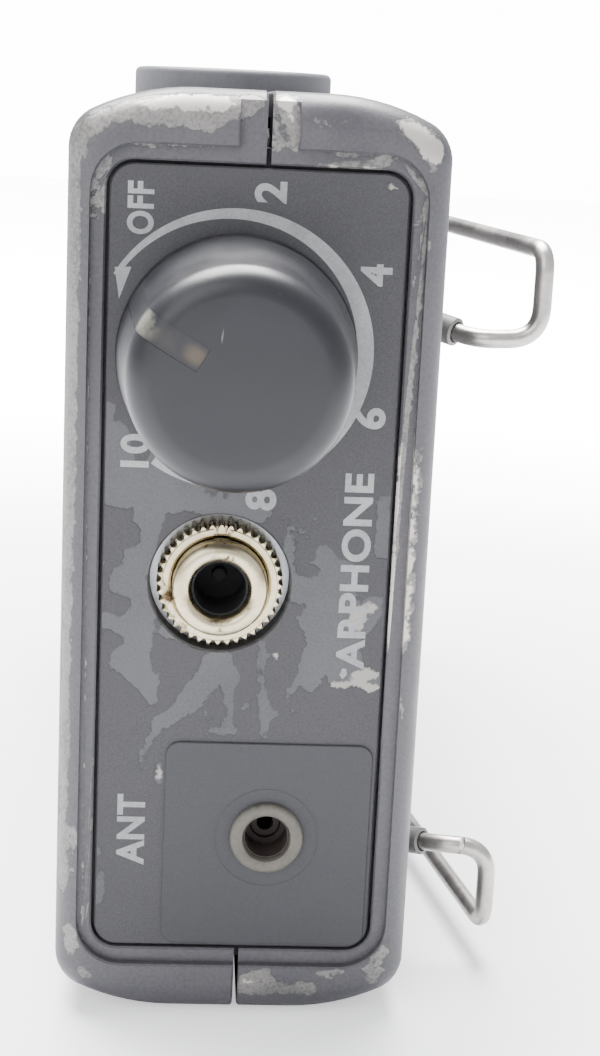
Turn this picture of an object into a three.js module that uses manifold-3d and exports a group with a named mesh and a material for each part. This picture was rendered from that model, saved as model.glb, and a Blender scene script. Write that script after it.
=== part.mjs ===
// Wireless bodypack receiver: two die-cast half shells round a control panel, a volume control, an earphone
// jack, an antenna socket, a plug-in channel module, a receiver board, a 9 V battery with its door, and a
// spring-wire belt clip. Millimetres. The pack stands on one narrow side: +Z is up across its width, -Y
// points out of the control panel, and +X points to the belt clip. The origin is on the standing side, in
// the middle of its length and thickness.
import * as THREE from 'three';
import { mergeVertices } from 'three/addons/utils/BufferGeometryUtils.js';
import Module from 'manifold-3d';

const wasm = await Module();
wasm.setup();

// ---------------------------------------------------------------- driving dimensions
// Clearances
const seatGap = 0.05; // between pieces clamped face to face
const runGap = 0.3; // round a piece that moves or that a neighbour's opening takes
const threadGap = 0.12; // between a screw and its hole
const nutGap = 0.1; // between a bushing's thread and its nut

// Case
const caseThickness = 23.3; // X
const caseLength = 92; // Y
const caseWidth = 60; // Z
const wall = 1.6;
const endWall = 2;
const cornerRadius = 2.6; // long edges
const endRounding = 2; // edges of the two ends
const crownRadius = 14; // the narrow sides curve away beyond their flat land
const landWidth = 8; // flat land along each narrow side
const seamX = 0.4;
const seamGap = 0.3;

// Control end: raised frame, ledge, captured panel and bracket
const frameWidthSide = 1.45;
const frameWidthEnd = 3.5;
const frameHeight = 0.6; // the frame stands this far proud of the ledge
const frameCornerRadius = 3;
const ledgeWidth = 0.95;
const lipThickness = 1;
const panelReveal = 0.2; // visible gap round the panel
const panelCornerRadius = 1.5;
const panelRecess = 0.65; // panel face below the frame face
const panelFlange = 1.1; // how far the panel's edge reaches behind the lip
const flangeThickness = 0.7;
const bracketThickness = 1;
const ribThickness = 1.2;
const notchWidth = 3.6; // slot through the top of the frame, over the seam

// Controls, measured from the panel's centre
const knobPlace = { x: -1.1, z: 14.1 };
const jackPlace = { x: -1.6, z: -0.5 };
const antennaPlace = { x: 2.05, z: -17.5 };

// Volume knob and its potentiometer
const knobBaseRadius = 7.35;
const knobFrontRadius = 6.45;
const knobHeight = 11.7;
const knobEdgeRadius = 1.7;
const knobSkirt = 1.2; // plain band at the foot of the knob
const pointerAngle = 150; // degrees, anticlockwise from +X seen from the front
const pointerWidth = 1.5;
const pointerDepth = 0.5;
const pointerStart = 2.4; // distance of the notch's inner end from the axis
const shaftRadius = 3;
const shaftGap = 0.15; // between the shaft and its bushing
const potBushingWall = 0.45;
const potNutWall = 1.1;
const potNutThickness = 2;
const potWasherThickness = 0.5;
const potBodyRadius = 7.9;
const potBodyDepth = 8;

// Earphone jack
const jackBoreRadius = 1.8;
const jackBushingWall = 1.2;
const jackBushingProud = 1.5; // beyond the nut
const jackNutWall = 0.9;
const jackNutProud = 0.45; // beyond the panel
const jackRecessGap = 0.45; // between the nut and the hole in the panel
const jackNutTeeth = 40;
const jackBodySize = 9;
const jackBodyDepth = 12;

// Antenna socket
const antennaFlangeWidth = 0.5;
const antennaRingHeight = 0.45;
const antennaBoreRadius = 1.5;
const antennaBarrelWall = 0.4;
const antennaContactRadius = 0.95;
const antennaBarrelLength = 7;
const padWidth = 13.4;
const padHeight = 14;
const padThickness = 0.15;
const padDrop = 11.1; // top edge of the pad below the panel's centre

// Channel module, through the upper narrow side
const moduleX = -1.1;
const moduleY = 0.5;
const moduleCapRadius = 8.2;
const moduleCapThickness = 2.6;
const moduleSeatDepth = 0.8;
const moduleBodyRadius = 6.3;
const moduleBodyLength = 12.5;
const modulePinRadius = 0.5;
const modulePinLength = 4;
const modulePinCircle = 3.4;
const moduleSocketHeight = 5;

// Receiver board
const boardThickness = 1.6;
const boardFront = -28.5; // Y
const boardBack = 34.5; // Y
const boardHeight = 25.8;
const boardCrownGap = 0.9; // below the inner face of the upper narrow side where its crown meets the board
const boardStandoff = 1.2;

// Battery (9 V block) and its door
const batteryThickness = 17.5;
const batteryWidth = 26.5;
const batteryLength = 44.5;
const batteryStudSpacing = 12.7;
const batteryStudLength = 2.6;
const batteryFoamThickness = 0.9;
const doorHalfWidth = 9; // X
const doorKnuckleRadius = 1.4;
const doorPinRadius = 0.6;

// Belt clip, on the back shell
const wireRadius = 0.62;
const clipCentreZ = 26.8;
const clipAnchorY = -37.3; // plane of the clip's front loops
const clipStandoff = 7.5;
const clipLegSpread = 18.1; // half the distance between the two legs
const clipArmSpread = 23.9; // half the distance between the two arms
const clipArmLength = 36;
const clipTipLength = 7;
const clipLowerDroop = 0.9; // the lower leg is bent this much nearer the case
const clipTipLift = 1.8;
const clipFootGap = 0.6; // between the wire's feet and the wall they rock behind
const sleeveThickness = 0.24;
const sleeveSpan = [0.2, 0.62]; // shares of the straight leg from the loop's bend to its foot

// Fasteners
const screwRadius = 1;
const screwHeadRadius = 1.9;
const screwHeadHeight = 1.2;
const bossRadius = 2.3;

// ---------------------------------------------------------------- derived places
const frontY = -caseLength / 2;
const backY = caseLength / 2;
const halfThickness = caseThickness / 2;
const midZ = caseWidth / 2;
const innerX = halfThickness - wall;
const innerBackY = backY - endWall;

const frameHalf = { x: halfThickness - frameWidthSide, z: caseWidth / 2 - frameWidthEnd };
const windowHalf = { x: frameHalf.x - ledgeWidth, z: frameHalf.z - ledgeWidth };
const panelHalf = { x: windowHalf.x - panelReveal, z: windowHalf.z - panelReveal };
const flangeHalf = { x: windowHalf.x + panelFlange, z: windowHalf.z + panelFlange };
const ledgeY = frontY + frameHeight;
const panelY = frontY + panelRecess;
const flangeY = ledgeY + lipThickness + seatGap;
const bracketY = flangeY + flangeThickness + seatGap;
const bracketBackY = bracketY + bracketThickness;
const ribY = bracketBackY + seatGap;
const cavityY = ribY + ribThickness;
const panelZ = midZ + 0.1;

const knobX = knobPlace.x;
const knobZ = panelZ + knobPlace.z;
const jackX = jackPlace.x;
const jackZ = panelZ + jackPlace.z;
const antennaX = antennaPlace.x;
const antennaZ = panelZ + antennaPlace.z;
const potBushingRadius = shaftRadius + shaftGap + potBushingWall;
const potNutAcross = 2 * (potBushingRadius + nutGap + potNutWall);
const jackBushingRadius = jackBoreRadius + jackBushingWall;
const jackNutRadius = jackBushingRadius + nutGap + jackNutWall;
const jackRecessRadius = jackNutRadius + jackRecessGap;
const antennaBarrelRadius = antennaBoreRadius + antennaBarrelWall;
const antennaRingRadius = antennaBarrelRadius + antennaFlangeWidth;
const padCentreZ = panelZ - padDrop - padHeight / 2;

const boardFaceX = innerX - boardStandoff - boardThickness;
const innerCrown = crownRadius - wall;
const pastLand = innerX - boardStandoff - landWidth / 2;
const boardDrop = boardCrownGap + innerCrown - Math.sqrt(innerCrown ** 2 - pastLand ** 2);
const boardTopZ = caseWidth - wall - boardDrop;
const boardBottomZ = boardTopZ - boardHeight;
const boardScrews = [[boardFront + 11, boardTopZ - 3], [boardBack - 3, boardBottomZ + 4]];

const batteryBottomZ = wall + batteryFoamThickness + 2 * seatGap;
const batteryTopZ = batteryBottomZ + batteryWidth;
const batteryMidZ = batteryBottomZ + batteryWidth / 2;
const batteryBackY = innerBackY - 0.7;
const batteryFrontY = batteryBackY - batteryLength;
const snapPlateThickness = 1.4;
const snapPlateY = batteryFrontY - batteryStudLength - 1.3 - snapPlateThickness;

const doorPinY = backY - doorKnuckleRadius;
const doorBottomZ = batteryBottomZ;
const doorPinZ = batteryTopZ + doorKnuckleRadius + 1.5;
const doorOpeningTopZ = doorPinZ + doorKnuckleRadius + runGap;

// Case screws run along X at these [y, z] places, clear of the controls, the battery and the board.
const screwPlaces = [
  [cavityY + 5.6, wall + bossRadius + 0.9],
  [cavityY + 5.6, caseWidth - wall - bossRadius - 0.7],
  [boardBack + 4, caseWidth - wall - bossRadius - 0.9],
  [boardBack + 4, batteryTopZ + bossRadius + 2.1],
];
const screwSeatX = halfThickness - screwHeadHeight - 0.3;
const clipFootY = clipAnchorY + 5.3;
const clipSlotHalf = { y: 2.4, z: 1.3 };

// ---------------------------------------------------------------- materials
function material(color, roughness, metalness) {
  return new THREE.MeshStandardMaterial({ color, roughness, metalness });
}

const casePaint = material(0x5b5d66, 0.5, 0.35);
const panelPrint = material(0x64646c, 0.6, 0.1);
const padPrint = material(0x5f5f66, 0.65, 0.05);
const knobPlastic = material(0x3c3f49, 0.45, 0);
const pointerPaint = material(0xb7ad8c, 0.7, 0);
const nickel = material(0xd2c8b0, 0.3, 1);
const steel = material(0xa8a49e, 0.3, 1);
const zincSteel = material(0x9a9c9e, 0.4, 1);
const brass = material(0xb49a5c, 0.35, 1);
const aluminium = material(0xb8babd, 0.4, 1);
const blackPlastic = material(0x1f2023, 0.5, 0);
const sleevePlastic = material(0x55575c, 0.6, 0);
const boardGreen = material(0x2f5c3a, 0.55, 0);
const phenolic = material(0x6b4a2a, 0.6, 0);
const batteryCoat = material(0x2b2e36, 0.4, 0.2);
const foam = material(0x3a3a3c, 0.95, 0);
const capacitorSleeve = material(0x22335e, 0.45, 0);

// ---------------------------------------------------------------- shape helpers
function box(x0, x1, y0, y1, z0, z1) {
  const geometry = new THREE.BoxGeometry(x1 - x0, y1 - y0, z1 - z0);
  return geometry.translate((x0 + x1) / 2, (y0 + y1) / 2, (z0 + z1) / 2);
}

// A cylinder along one axis, from one coordinate to another; centre holds the other two, in X, Y, Z order.
function cylinder(axis, radius, from, to, centre, segments = 32) {
  const geometry = new THREE.CylinderGeometry(radius, radius, to - from, segments);
  const middle = (from + to) / 2;
  const [a, b] = centre;
  if (axis === 'x') return geometry.rotateZ(-Math.PI / 2).translate(middle, a, b);
  if (axis === 'y') return geometry.translate(a, middle, b);
  return geometry.rotateX(Math.PI / 2).translate(a, b, middle);
}

// Turned piece about the Y axis; the profile lists [radius, y] and closes on the axis or on itself.
function turned(profile, segments = 32) {
  const points = profile.map(([radius, y]) => new THREE.Vector2(radius, y));
  return new THREE.LatheGeometry(points, segments);
}

// Ring about the Y axis between two radii and two heights.
function ring(inner, outer, from, to, segments = 32) {
  return turned([[inner, from], [outer, from], [outer, to], [inner, to], [inner, from]], segments);
}

// An outline in X and Z, extruded along Y. A rounding also rounds the edges of both ends.
function slab(shape, fromY, toY, rounding = 0, curveSegments = 4) {
  const geometry = new THREE.ExtrudeGeometry(shape, {
    depth: toY - fromY - 2 * rounding,
    curveSegments,
    bevelEnabled: rounding > 0,
    bevelThickness: rounding,
    bevelSize: rounding,
    bevelOffset: -rounding,
    bevelSegments: 5,
  });
  return geometry.rotateX(Math.PI / 2).translate(0, toY - rounding, 0);
}

function roundedRectangle(half, radius, centre = { x: 0, z: 0 }) {
  const shape = new THREE.Shape();
  const reach = { x: half.x - radius, z: half.z - radius };
  const corners = [[1, 1], [-1, 1], [-1, -1], [1, -1]];
  corners.forEach(([sx, sz], index) => {
    const start = (index * Math.PI) / 2;
    shape.absarc(centre.x + sx * reach.x, centre.z + sz * reach.z, radius, start, start + Math.PI / 2);
  });
  return shape;
}

function polygon(points) {
  return new THREE.Shape(points.map(([x, z]) => new THREE.Vector2(x, z)));
}

function hexagon(across) {
  const radius = across / Math.sqrt(3);
  const angles = [0, 1, 2, 3, 4, 5].map((index) => (index * Math.PI) / 3);
  return polygon(angles.map((angle) => [radius * Math.cos(angle), radius * Math.sin(angle)]));
}

// Cross-section of the case: straight long sides, crowned narrow sides with a flat land, round corners.
function caseOutline(inset) {
  const half = { x: halfThickness - inset, z: caseWidth / 2 - inset };
  const corner = cornerRadius - inset > 0.4 ? cornerRadius - inset : 0.4;
  const crown = crownRadius - inset;
  const land = landWidth / 2;
  const crownZ = half.z - crown;
  const cornerX = half.x - corner;
  const cornerZ = crownZ + Math.sqrt((crown - corner) ** 2 - (cornerX - land) ** 2);
  const meet = Math.atan2(cornerZ - crownZ, cornerX - land);
  const quarter = Math.PI / 2;
  const shape = new THREE.Shape();
  shape.absarc(cornerX, midZ + cornerZ, corner, 0, meet);
  shape.absarc(land, midZ + crownZ, crown, meet, quarter);
  shape.absarc(-land, midZ + crownZ, crown, quarter, 2 * quarter - meet);
  shape.absarc(-cornerX, midZ + cornerZ, corner, 2 * quarter - meet, 2 * quarter);
  shape.absarc(-cornerX, midZ - cornerZ, corner, 2 * quarter, 2 * quarter + meet);
  shape.absarc(-land, midZ - crownZ, crown, 2 * quarter + meet, 3 * quarter);
  shape.absarc(land, midZ - crownZ, crown, 3 * quarter, 4 * quarter - meet);
  shape.absarc(cornerX, midZ - cornerZ, corner, 4 * quarter - meet, 4 * quarter);
  return shape;
}

// A round wire along straight legs joined by curved bends; each point is [x, y, z, bend radius].
function bentPath(points) {
  const path = new THREE.CurvePath();
  const place = points.map(([x, y, z]) => new THREE.Vector3(x, y, z));
  let from = place[0];
  for (let index = 1; index < points.length - 1; index += 1) {
    const corner = place[index];
    const bend = points[index][3];
    const entry = corner.clone().add(place[index - 1].clone().sub(corner).setLength(bend));
    const exit = corner.clone().add(place[index + 1].clone().sub(corner).setLength(bend));
    path.add(new THREE.LineCurve3(from, entry));
    path.add(new THREE.QuadraticBezierCurve3(entry, corner, exit));
    from = exit;
  }
  path.add(new THREE.LineCurve3(from, place[place.length - 1]));
  return path;
}

function alongPath(section, path, steps) {
  return new THREE.ExtrudeGeometry(section, { steps, extrudePath: path, curveSegments: 4 });
}

function circle(radius, hole = 0) {
  const shape = new THREE.Shape().absarc(0, 0, radius, 0, 2 * Math.PI);
  if (hole > 0) shape.holes.push(new THREE.Path().absarc(0, 0, hole, 0, 2 * Math.PI, true));
  return shape;
}

// ---------------------------------------------------------------- booleans
function solid(geometry) {
  const plain = geometry.clone();
  plain.deleteAttribute('normal');
  plain.deleteAttribute('uv');
  const merged = mergeVertices(plain, 1e-4);
  const mesh = new wasm.Mesh({
    numProp: 3,
    vertProperties: new Float32Array(merged.attributes.position.array),
    triVerts: new Uint32Array(merged.index.array),
  });
  return new wasm.Manifold(mesh);
}

function cut(body, ...tools) {
  return tools.reduce((result, tool) => result.subtract(tool), body);
}

function join(body, ...others) {
  return others.reduce((result, other) => result.add(other), body);
}

function geometryOf(manifold) {
  const mesh = manifold.getMesh();
  const geometry = new THREE.BufferGeometry();
  geometry.setAttribute('position', new THREE.BufferAttribute(new Float32Array(mesh.vertProperties), 3));
  geometry.setIndex(new THREE.BufferAttribute(new Uint32Array(mesh.triVerts), 1));
  geometry.computeVertexNormals();
  return geometry;
}

// ---------------------------------------------------------------- scene helpers
const pack = new THREE.Group();

function group(x, y, z) {
  const child = new THREE.Group();
  child.position.set(x, y, z);
  pack.add(child);
  return child;
}

function add(parent, name, geometry, look, position = [0, 0, 0]) {
  const mesh = new THREE.Mesh(geometry, look);
  mesh.name = name;
  mesh.position.set(...position);
  parent.add(mesh);
  return mesh;
}

// ---------------------------------------------------------------- case
// Everything that both half shells lose: the panel's frame, ledge and groove, and all openings.
function caseOpenings() {
  const at = { x: 0, z: panelZ };
  const seatTopZ = caseWidth - moduleSeatDepth;
  return [
    slab(caseOutline(wall), cavityY, innerBackY),
    slab(roundedRectangle(frameHalf, frameCornerRadius, at), frontY - 1, ledgeY),
    slab(roundedRectangle(windowHalf, panelCornerRadius + panelReveal, at), frontY - 1, cavityY + 1),
    slab(roundedRectangle(flangeHalf, 2, at), ledgeY + lipThickness, ribY),
    box(seamX - notchWidth / 2, seamX + notchWidth / 2, frontY - 1, ledgeY, panelZ, caseWidth + 1),
    cylinder('z', moduleCapRadius + runGap, seatTopZ, caseWidth + 1, [moduleX, moduleY], 48),
    cylinder('z', moduleBodyRadius + runGap, caseWidth - 2 * wall - 2, caseWidth, [moduleX, moduleY], 40),
    box(-doorHalfWidth - runGap, doorHalfWidth + runGap, innerBackY - 1, backY + 1,
      doorBottomZ - runGap, doorOpeningTopZ),
    cylinder('x', doorPinRadius + threadGap, -innerX - 0.7, innerX + 0.7, [doorPinY, doorPinZ], 16),
  ].map(solid);
}

function caseBlock() {
  return solid(slab(caseOutline(0), frontY, backY, endRounding));
}

// Half bosses for the case screws between two X planes.
function screwBosses(fromX, toX) {
  return screwPlaces.map((place) => solid(cylinder('x', bossRadius, fromX, toX, place, 20)));
}

function frontShell() {
  const rightX = seamX - seamGap / 2;
  const keep = solid(box(-halfThickness - 1, rightX, frontY - 1, backY + 1, -1, caseWidth + 1));
  const bosses = screwBosses(-innerX - 0.5, rightX);
  const ribY0 = snapPlateY - 1.6;
  const rib = box(-innerX - 0.5, -innerX + 3.6, ribY0, snapPlateY - seatGap, batteryBottomZ + 1, batteryTopZ);
  const holes = screwPlaces.map((place) => solid(cylinder('x', screwRadius + threadGap, -6.5, 9, place, 16)));
  const hollow = cut(caseBlock().intersect(keep), ...caseOpenings());
  return geometryOf(cut(join(hollow, ...bosses, solid(rib)), ...holes));
}

function backShell() {
  const leftX = seamX + seamGap / 2;
  const keep = solid(box(leftX, halfThickness + 1, frontY - 1, backY + 1, -1, caseWidth + 1));
  const bosses = screwBosses(leftX, innerX + 0.5);
  const postX = innerX - boardStandoff + seatGap;
  const headSeatRadius = screwHeadRadius + 0.25;
  const posts = boardScrews.map((place) => solid(cylinder('x', 2.1, postX, innerX + 0.5, place, 20)));
  const holes = [
    ...screwPlaces.map((place) => cylinder('x', screwRadius + 0.25, leftX - 1, halfThickness + 1, place, 16)),
    ...screwPlaces.map((place) => cylinder('x', headSeatRadius, screwSeatX, halfThickness + 1, place, 24)),
    ...boardScrews.map((place) => cylinder('x', screwRadius + threadGap, 0, halfThickness - 0.6, place, 16)),
    ...[-1, 1].map((side) => clipSlot(side)),
  ].map(solid);
  const hollow = cut(caseBlock().intersect(keep), ...caseOpenings());
  return geometryOf(cut(join(hollow, ...bosses, ...posts), ...holes));
}

// Slot in the back shell that the end of the clip wire passes through.
function clipSlot(side) {
  const y = clipAnchorY + 3.3;
  const z = clipCentreZ + side * (clipLegSpread + 0.9);
  return box(innerX - 0.5, halfThickness + 0.5, y - clipSlotHalf.y, y + clipSlotHalf.y,
    z - clipSlotHalf.z, z + clipSlotHalf.z);
}

function addCase() {
  add(pack, 'front_shell', frontShell(), casePaint);
  add(pack, 'back_shell', backShell(), casePaint);
  screwPlaces.forEach((place, index) => {
    const headX = screwSeatX + seatGap;
    const slot = box(headX + screwHeadHeight - 0.5, headX + screwHeadHeight + 0.1, -3, 3, -0.25, 0.25);
    const shank = solid(cylinder('x', screwRadius, -5.8, headX + 0.1, [0, 0], 16));
    const head = solid(cylinder('x', screwHeadRadius, headX, headX + screwHeadHeight, [0, 0], 24));
    const screw = cut(join(shank, head), solid(slot));
    add(pack, `case_screw_${index + 1}`, geometryOf(screw), zincSteel, [0, ...place]);
  });
}

// ---------------------------------------------------------------- control panel and bracket
function addPanel() {
  const at = { x: 0, z: panelZ };
  const place = [[knobX, knobZ], [jackX, jackZ], [antennaX, antennaZ]];
  const edge = runGap / 2;
  const inGroove = { x: flangeHalf.x - edge, z: flangeHalf.z - edge };
  const bore = (radius, index) => solid(cylinder('y', radius, frontY - 1, ribY, place[index], 40));
  const face = solid(slab(roundedRectangle(panelHalf, panelCornerRadius, at), panelY, flangeY + 0.3));
  const flange = solid(slab(roundedRectangle(inGroove, 2 - edge, at), flangeY, flangeY + flangeThickness));
  const panelBores = [potBushingRadius + 0.2, jackRecessRadius, antennaBarrelRadius + 0.2].map(bore);
  add(pack, 'control_panel', geometryOf(cut(join(face, flange), ...panelBores)), panelPrint);

  const plate = solid(slab(roundedRectangle(inGroove, 2 - edge, at), bracketY, bracketBackY));
  const throughRadii = [potBushingRadius, jackBushingRadius, antennaBarrelRadius];
  const bracketBores = throughRadii.map((radius) => radius + 0.2).map(bore);
  add(pack, 'inner_bracket', geometryOf(cut(plate, ...bracketBores)), aluminium);

  const pad = solid(slab(roundedRectangle({ x: padWidth / 2, z: padHeight / 2 }, 0.9), -padThickness, 0));
  const padHole = solid(cylinder('y', antennaBarrelRadius + 0.2, -1, 1, [0, antennaZ - padCentreZ], 40));
  const padPlace = [antennaX, panelY - seatGap / 2, padCentreZ];
  add(pack, 'antenna_pad', geometryOf(cut(pad, padHole)), padPrint, padPlace);
}

// ---------------------------------------------------------------- volume control
// Knob profile [radius, height above its foot], shrunk all round by an inset.
function knobProfile(inset) {
  const top = knobHeight - inset;
  const edge = knobEdgeRadius - inset / 2;
  const front = knobFrontRadius - inset;
  const steps = 6;
  const points = [[0, 0], [knobBaseRadius - inset, 0], [knobBaseRadius - inset, knobSkirt]];
  for (let step = 0; step <= steps; step += 1) {
    const angle = (step / steps) * (Math.PI / 2);
    points.push([front - edge + edge * Math.cos(angle), top - edge + edge * Math.sin(angle)]);
  }
  points.push([0, top]);
  return points;
}

// Pieces on the panel are drawn with local Y pointing out of the panel and turned to face -Y.
function outward(place) {
  const holder = group(place.x, panelY, place.z);
  holder.rotation.x = Math.PI;
  return holder;
}

function addVolumeControl() {
  const control = outward({ x: knobX, z: knobZ });
  const foot = 0.45;
  const nutTop = potWasherThickness + potNutThickness + 3 * seatGap;
  const recessTop = nutTop + runGap;
  const recessRadius = potNutAcross / Math.sqrt(3) + 2 * runGap;
  const shaftTop = foot + knobHeight - 2;
  const screwHeight = foot + knobHeight * 0.5;
  const bodyTop = panelY - bracketBackY - seatGap;

  // The holder's turn mirrors Z, so the pointer's angle is counted the other way round here.
  const angle = -THREE.MathUtils.degToRad(pointerAngle);
  const turnedTo = (geometry) => solid(geometry.rotateY(-angle));
  const reach = knobBaseRadius + 2;
  const [notchFoot, notchTop] = [foot + knobSkirt, foot + knobHeight + 1];
  const notch = (width, start) => turnedTo(box(start, reach, notchFoot, notchTop, -width / 2, width / 2));
  const core = (inset) => solid(turned(knobProfile(inset), 48).translate(0, foot, 0));
  const setScrewRadius = screwRadius + 0.2;
  const setScrewHole = turnedTo(cylinder('x', setScrewRadius + 0.15, -reach, 0, [screwHeight, 0], 20));
  const knob = cut(
    core(0),
    notch(pointerWidth, pointerStart).subtract(core(pointerDepth)),
    solid(cylinder('y', recessRadius, foot - 1, recessTop, [0, 0], 48)),
    solid(cylinder('y', shaftRadius + 0.1, 0, shaftTop + 0.2, [0, 0], 40)),
    setScrewHole,
  );
  const inlayBlank = notch(pointerWidth - 0.12, pointerStart + 0.06).intersect(core(0.15));
  const inlay = inlayBlank.subtract(core(pointerDepth - 0.06));
  add(control, 'volume_knob', geometryOf(knob), knobPlastic);
  add(control, 'knob_pointer', geometryOf(inlay), pointerPaint);

  const setScrewReach = knobFrontRadius - 0.4;
  const screw = cylinder('x', setScrewRadius, -setScrewReach, -shaftRadius - seatGap, [screwHeight, 0], 16);
  add(control, 'knob_set_screw', screw.rotateY(-angle), zincSteel);
  add(control, 'pot_shaft', cylinder('y', shaftRadius, bodyTop - 2, shaftTop, [0, 0], 40), aluminium);
  const thread = ring(shaftRadius + shaftGap, potBushingRadius, bodyTop + seatGap, nutTop - 0.2);
  add(control, 'pot_bushing', thread, brass);
  const washerRadius = potNutAcross / 2 + 0.6;
  const washer = ring(potBushingRadius + nutGap, washerRadius, seatGap, seatGap + potWasherThickness);
  add(control, 'pot_washer', washer, zincSteel);

  const nutFoot = potWasherThickness + 2 * seatGap;
  const nutBlank = solid(slab(hexagon(potNutAcross), nutFoot, nutFoot + potNutThickness));
  const nutBore = solid(cylinder('y', potBushingRadius + nutGap, 0, nutTop + 1, [0, 0], 40));
  add(control, 'pot_nut', geometryOf(cut(nutBlank, nutBore)), nickel);

  const body = solid(cylinder('y', potBodyRadius, bodyTop - potBodyDepth, bodyTop, [0, 0], 40));
  const well = solid(cylinder('y', shaftRadius + 0.2, bodyTop - 2.3, bodyTop + 1, [0, 0], 40));
  add(control, 'pot_body', geometryOf(cut(body, well)), zincSteel);
  [-1, 0, 1].forEach((side, index) => {
    const x = side * 3.5;
    const inner = Math.sqrt(potBodyRadius ** 2 - x ** 2) + 0.25;
    const tabY = bodyTop - potBodyDepth + 1;
    const tab = box(x - 0.9, x + 0.9, tabY, tabY + 0.5, inner, potBodyRadius + 2.2);
    add(control, `pot_terminal_${index + 1}`, tab, brass);
  });
}

// ---------------------------------------------------------------- earphone jack
// Outline of the knurled nut: pointed teeth round a circle.
function knurl(radius, teeth, depth) {
  const points = [];
  for (let index = 0; index < teeth * 2; index += 1) {
    const reach = index % 2 === 0 ? radius : radius - depth;
    const angle = (index * Math.PI) / teeth;
    points.push([reach * Math.cos(angle), reach * Math.sin(angle)]);
  }
  return polygon(points);
}

function addJack() {
  const jack = outward({ x: jackX, z: jackZ });
  const nutTop = jackNutProud;
  const nutFoot = panelY - bracketY + seatGap;
  const bodyTop = panelY - bracketBackY - seatGap;
  const bushingTop = nutTop + jackBushingProud;
  const blank = solid(slab(knurl(jackNutRadius, jackNutTeeth, 0.3), nutFoot, nutTop));
  const bore = solid(cylinder('y', jackBushingRadius + nutGap, nutFoot - 1, nutTop + 1, [0, 0], 40));
  const slotReach = -jackBushingRadius + 0.5;
  const driverSlot = solid(box(-0.55, 0.55, nutTop - 0.8, nutTop + 1, -jackNutRadius - 1, slotReach));
  add(jack, 'jack_nut', geometryOf(cut(blank, bore, driverSlot)), nickel);

  const edge = 0.4;
  const bushing = turned([
    [jackBoreRadius, bodyTop + seatGap],
    [jackBushingRadius, bodyTop + seatGap],
    [jackBushingRadius, bushingTop - edge],
    [jackBushingRadius - edge, bushingTop],
    [jackBoreRadius + edge, bushingTop],
    [jackBoreRadius, bushingTop - edge],
    [jackBoreRadius, bodyTop + seatGap],
  ]);
  add(jack, 'jack_bushing', bushing, nickel);

  const half = jackBodySize / 2;
  const body = solid(box(-half, half, bodyTop - jackBodyDepth, bodyTop, -half, half));
  const socket = solid(cylinder('y', jackBoreRadius, bodyTop - jackBodyDepth + 1.5, bodyTop + 1, [0, 0], 32));
  add(jack, 'jack_body', geometryOf(cut(body, socket)), blackPlastic);
  const springX = half + seatGap;
  const tip = box(springX, springX + 0.4, bodyTop - jackBodyDepth - 2.5, bodyTop - 2, -2.6, -0.4);
  add(jack, 'jack_tip_spring', tip, brass);
  const sleeveTab = box(-springX - 0.4, -springX, bodyTop - jackBodyDepth - 2.5, bodyTop - 4, -1, 1);
  add(jack, 'jack_sleeve_terminal', sleeveTab, brass);
}

// ---------------------------------------------------------------- antenna socket
function addAntennaSocket() {
  const antenna = outward({ x: antennaX, z: antennaZ });
  const foot = padThickness + seatGap;
  const top = foot + antennaRingHeight;
  const end = top - antennaBarrelLength;
  const bracketBack = panelY - bracketBackY;
  const bushing = turned([
    [antennaBoreRadius, end],
    [antennaBarrelRadius, end],
    [antennaBarrelRadius, foot],
    [antennaRingRadius, foot],
    [antennaRingRadius, top - 0.2],
    [antennaRingRadius - 0.2, top],
    [antennaBoreRadius + 0.15, top],
    [antennaBoreRadius, top - 0.15],
    [antennaBoreRadius, end],
  ]);
  add(antenna, 'antenna_bushing', bushing, nickel);
  const nutBlank = solid(slab(hexagon(5.5), bracketBack - seatGap - 1.4, bracketBack - seatGap));
  const nutBore = solid(cylinder('y', antennaBarrelRadius + nutGap, end, top, [0, 0], 40));
  add(antenna, 'antenna_nut', geometryOf(cut(nutBlank, nutBore)), nickel);
  const insulator = ring(antennaContactRadius + 0.08, antennaBoreRadius - 0.08, end, end + 4.2);
  add(antenna, 'antenna_insulator', insulator, blackPlastic);
  add(antenna, 'antenna_contact', ring(0.55, antennaContactRadius, end - 1.5, end + 4), brass);
}

// ---------------------------------------------------------------- channel module
function addChannelModule() {
  const seatZ = caseWidth - moduleSeatDepth + seatGap;
  const channel = group(moduleX, moduleY, seatZ);
  channel.rotation.x = Math.PI / 2; // local Y points up
  const edge = 0.5;
  const cap = turned([
    [0, 0],
    [moduleCapRadius, 0],
    [moduleCapRadius, moduleCapThickness - edge],
    [moduleCapRadius - edge * 0.3, moduleCapThickness - edge * 0.3],
    [moduleCapRadius - edge, moduleCapThickness],
    [0, moduleCapThickness],
  ], 44);
  add(channel, 'channel_module_cap', cap, knobPlastic);
  const foot = -seatGap - moduleBodyLength;
  add(channel, 'channel_module_body', cylinder('y', moduleBodyRadius, foot, -seatGap, [0, 0]), blackPlastic);
  const socketTop = foot - 0.4;
  const half = moduleBodyRadius - 0.1;
  const socketX = boardFaceX - moduleX - seatGap;
  const socket = solid(box(-half, socketX, socketTop - moduleSocketHeight, socketTop, -half, half));
  const sockets = [];
  [90, 210, 330].forEach((degrees, index) => {
    const angle = THREE.MathUtils.degToRad(degrees);
    const place = [modulePinCircle * Math.cos(angle), modulePinCircle * Math.sin(angle)];
    const pin = cylinder('y', modulePinRadius, foot - seatGap - modulePinLength, foot - seatGap, place, 14);
    add(channel, `channel_module_pin_${index + 1}`, pin, brass);
    const wellFoot = socketTop - modulePinLength - 0.4;
    sockets.push(solid(cylinder('y', modulePinRadius + 0.2, wellFoot, socketTop + 1, place, 14)));
  });
  add(channel, 'channel_module_socket', geometryOf(cut(socket, ...sockets)), phenolic);
}

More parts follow.
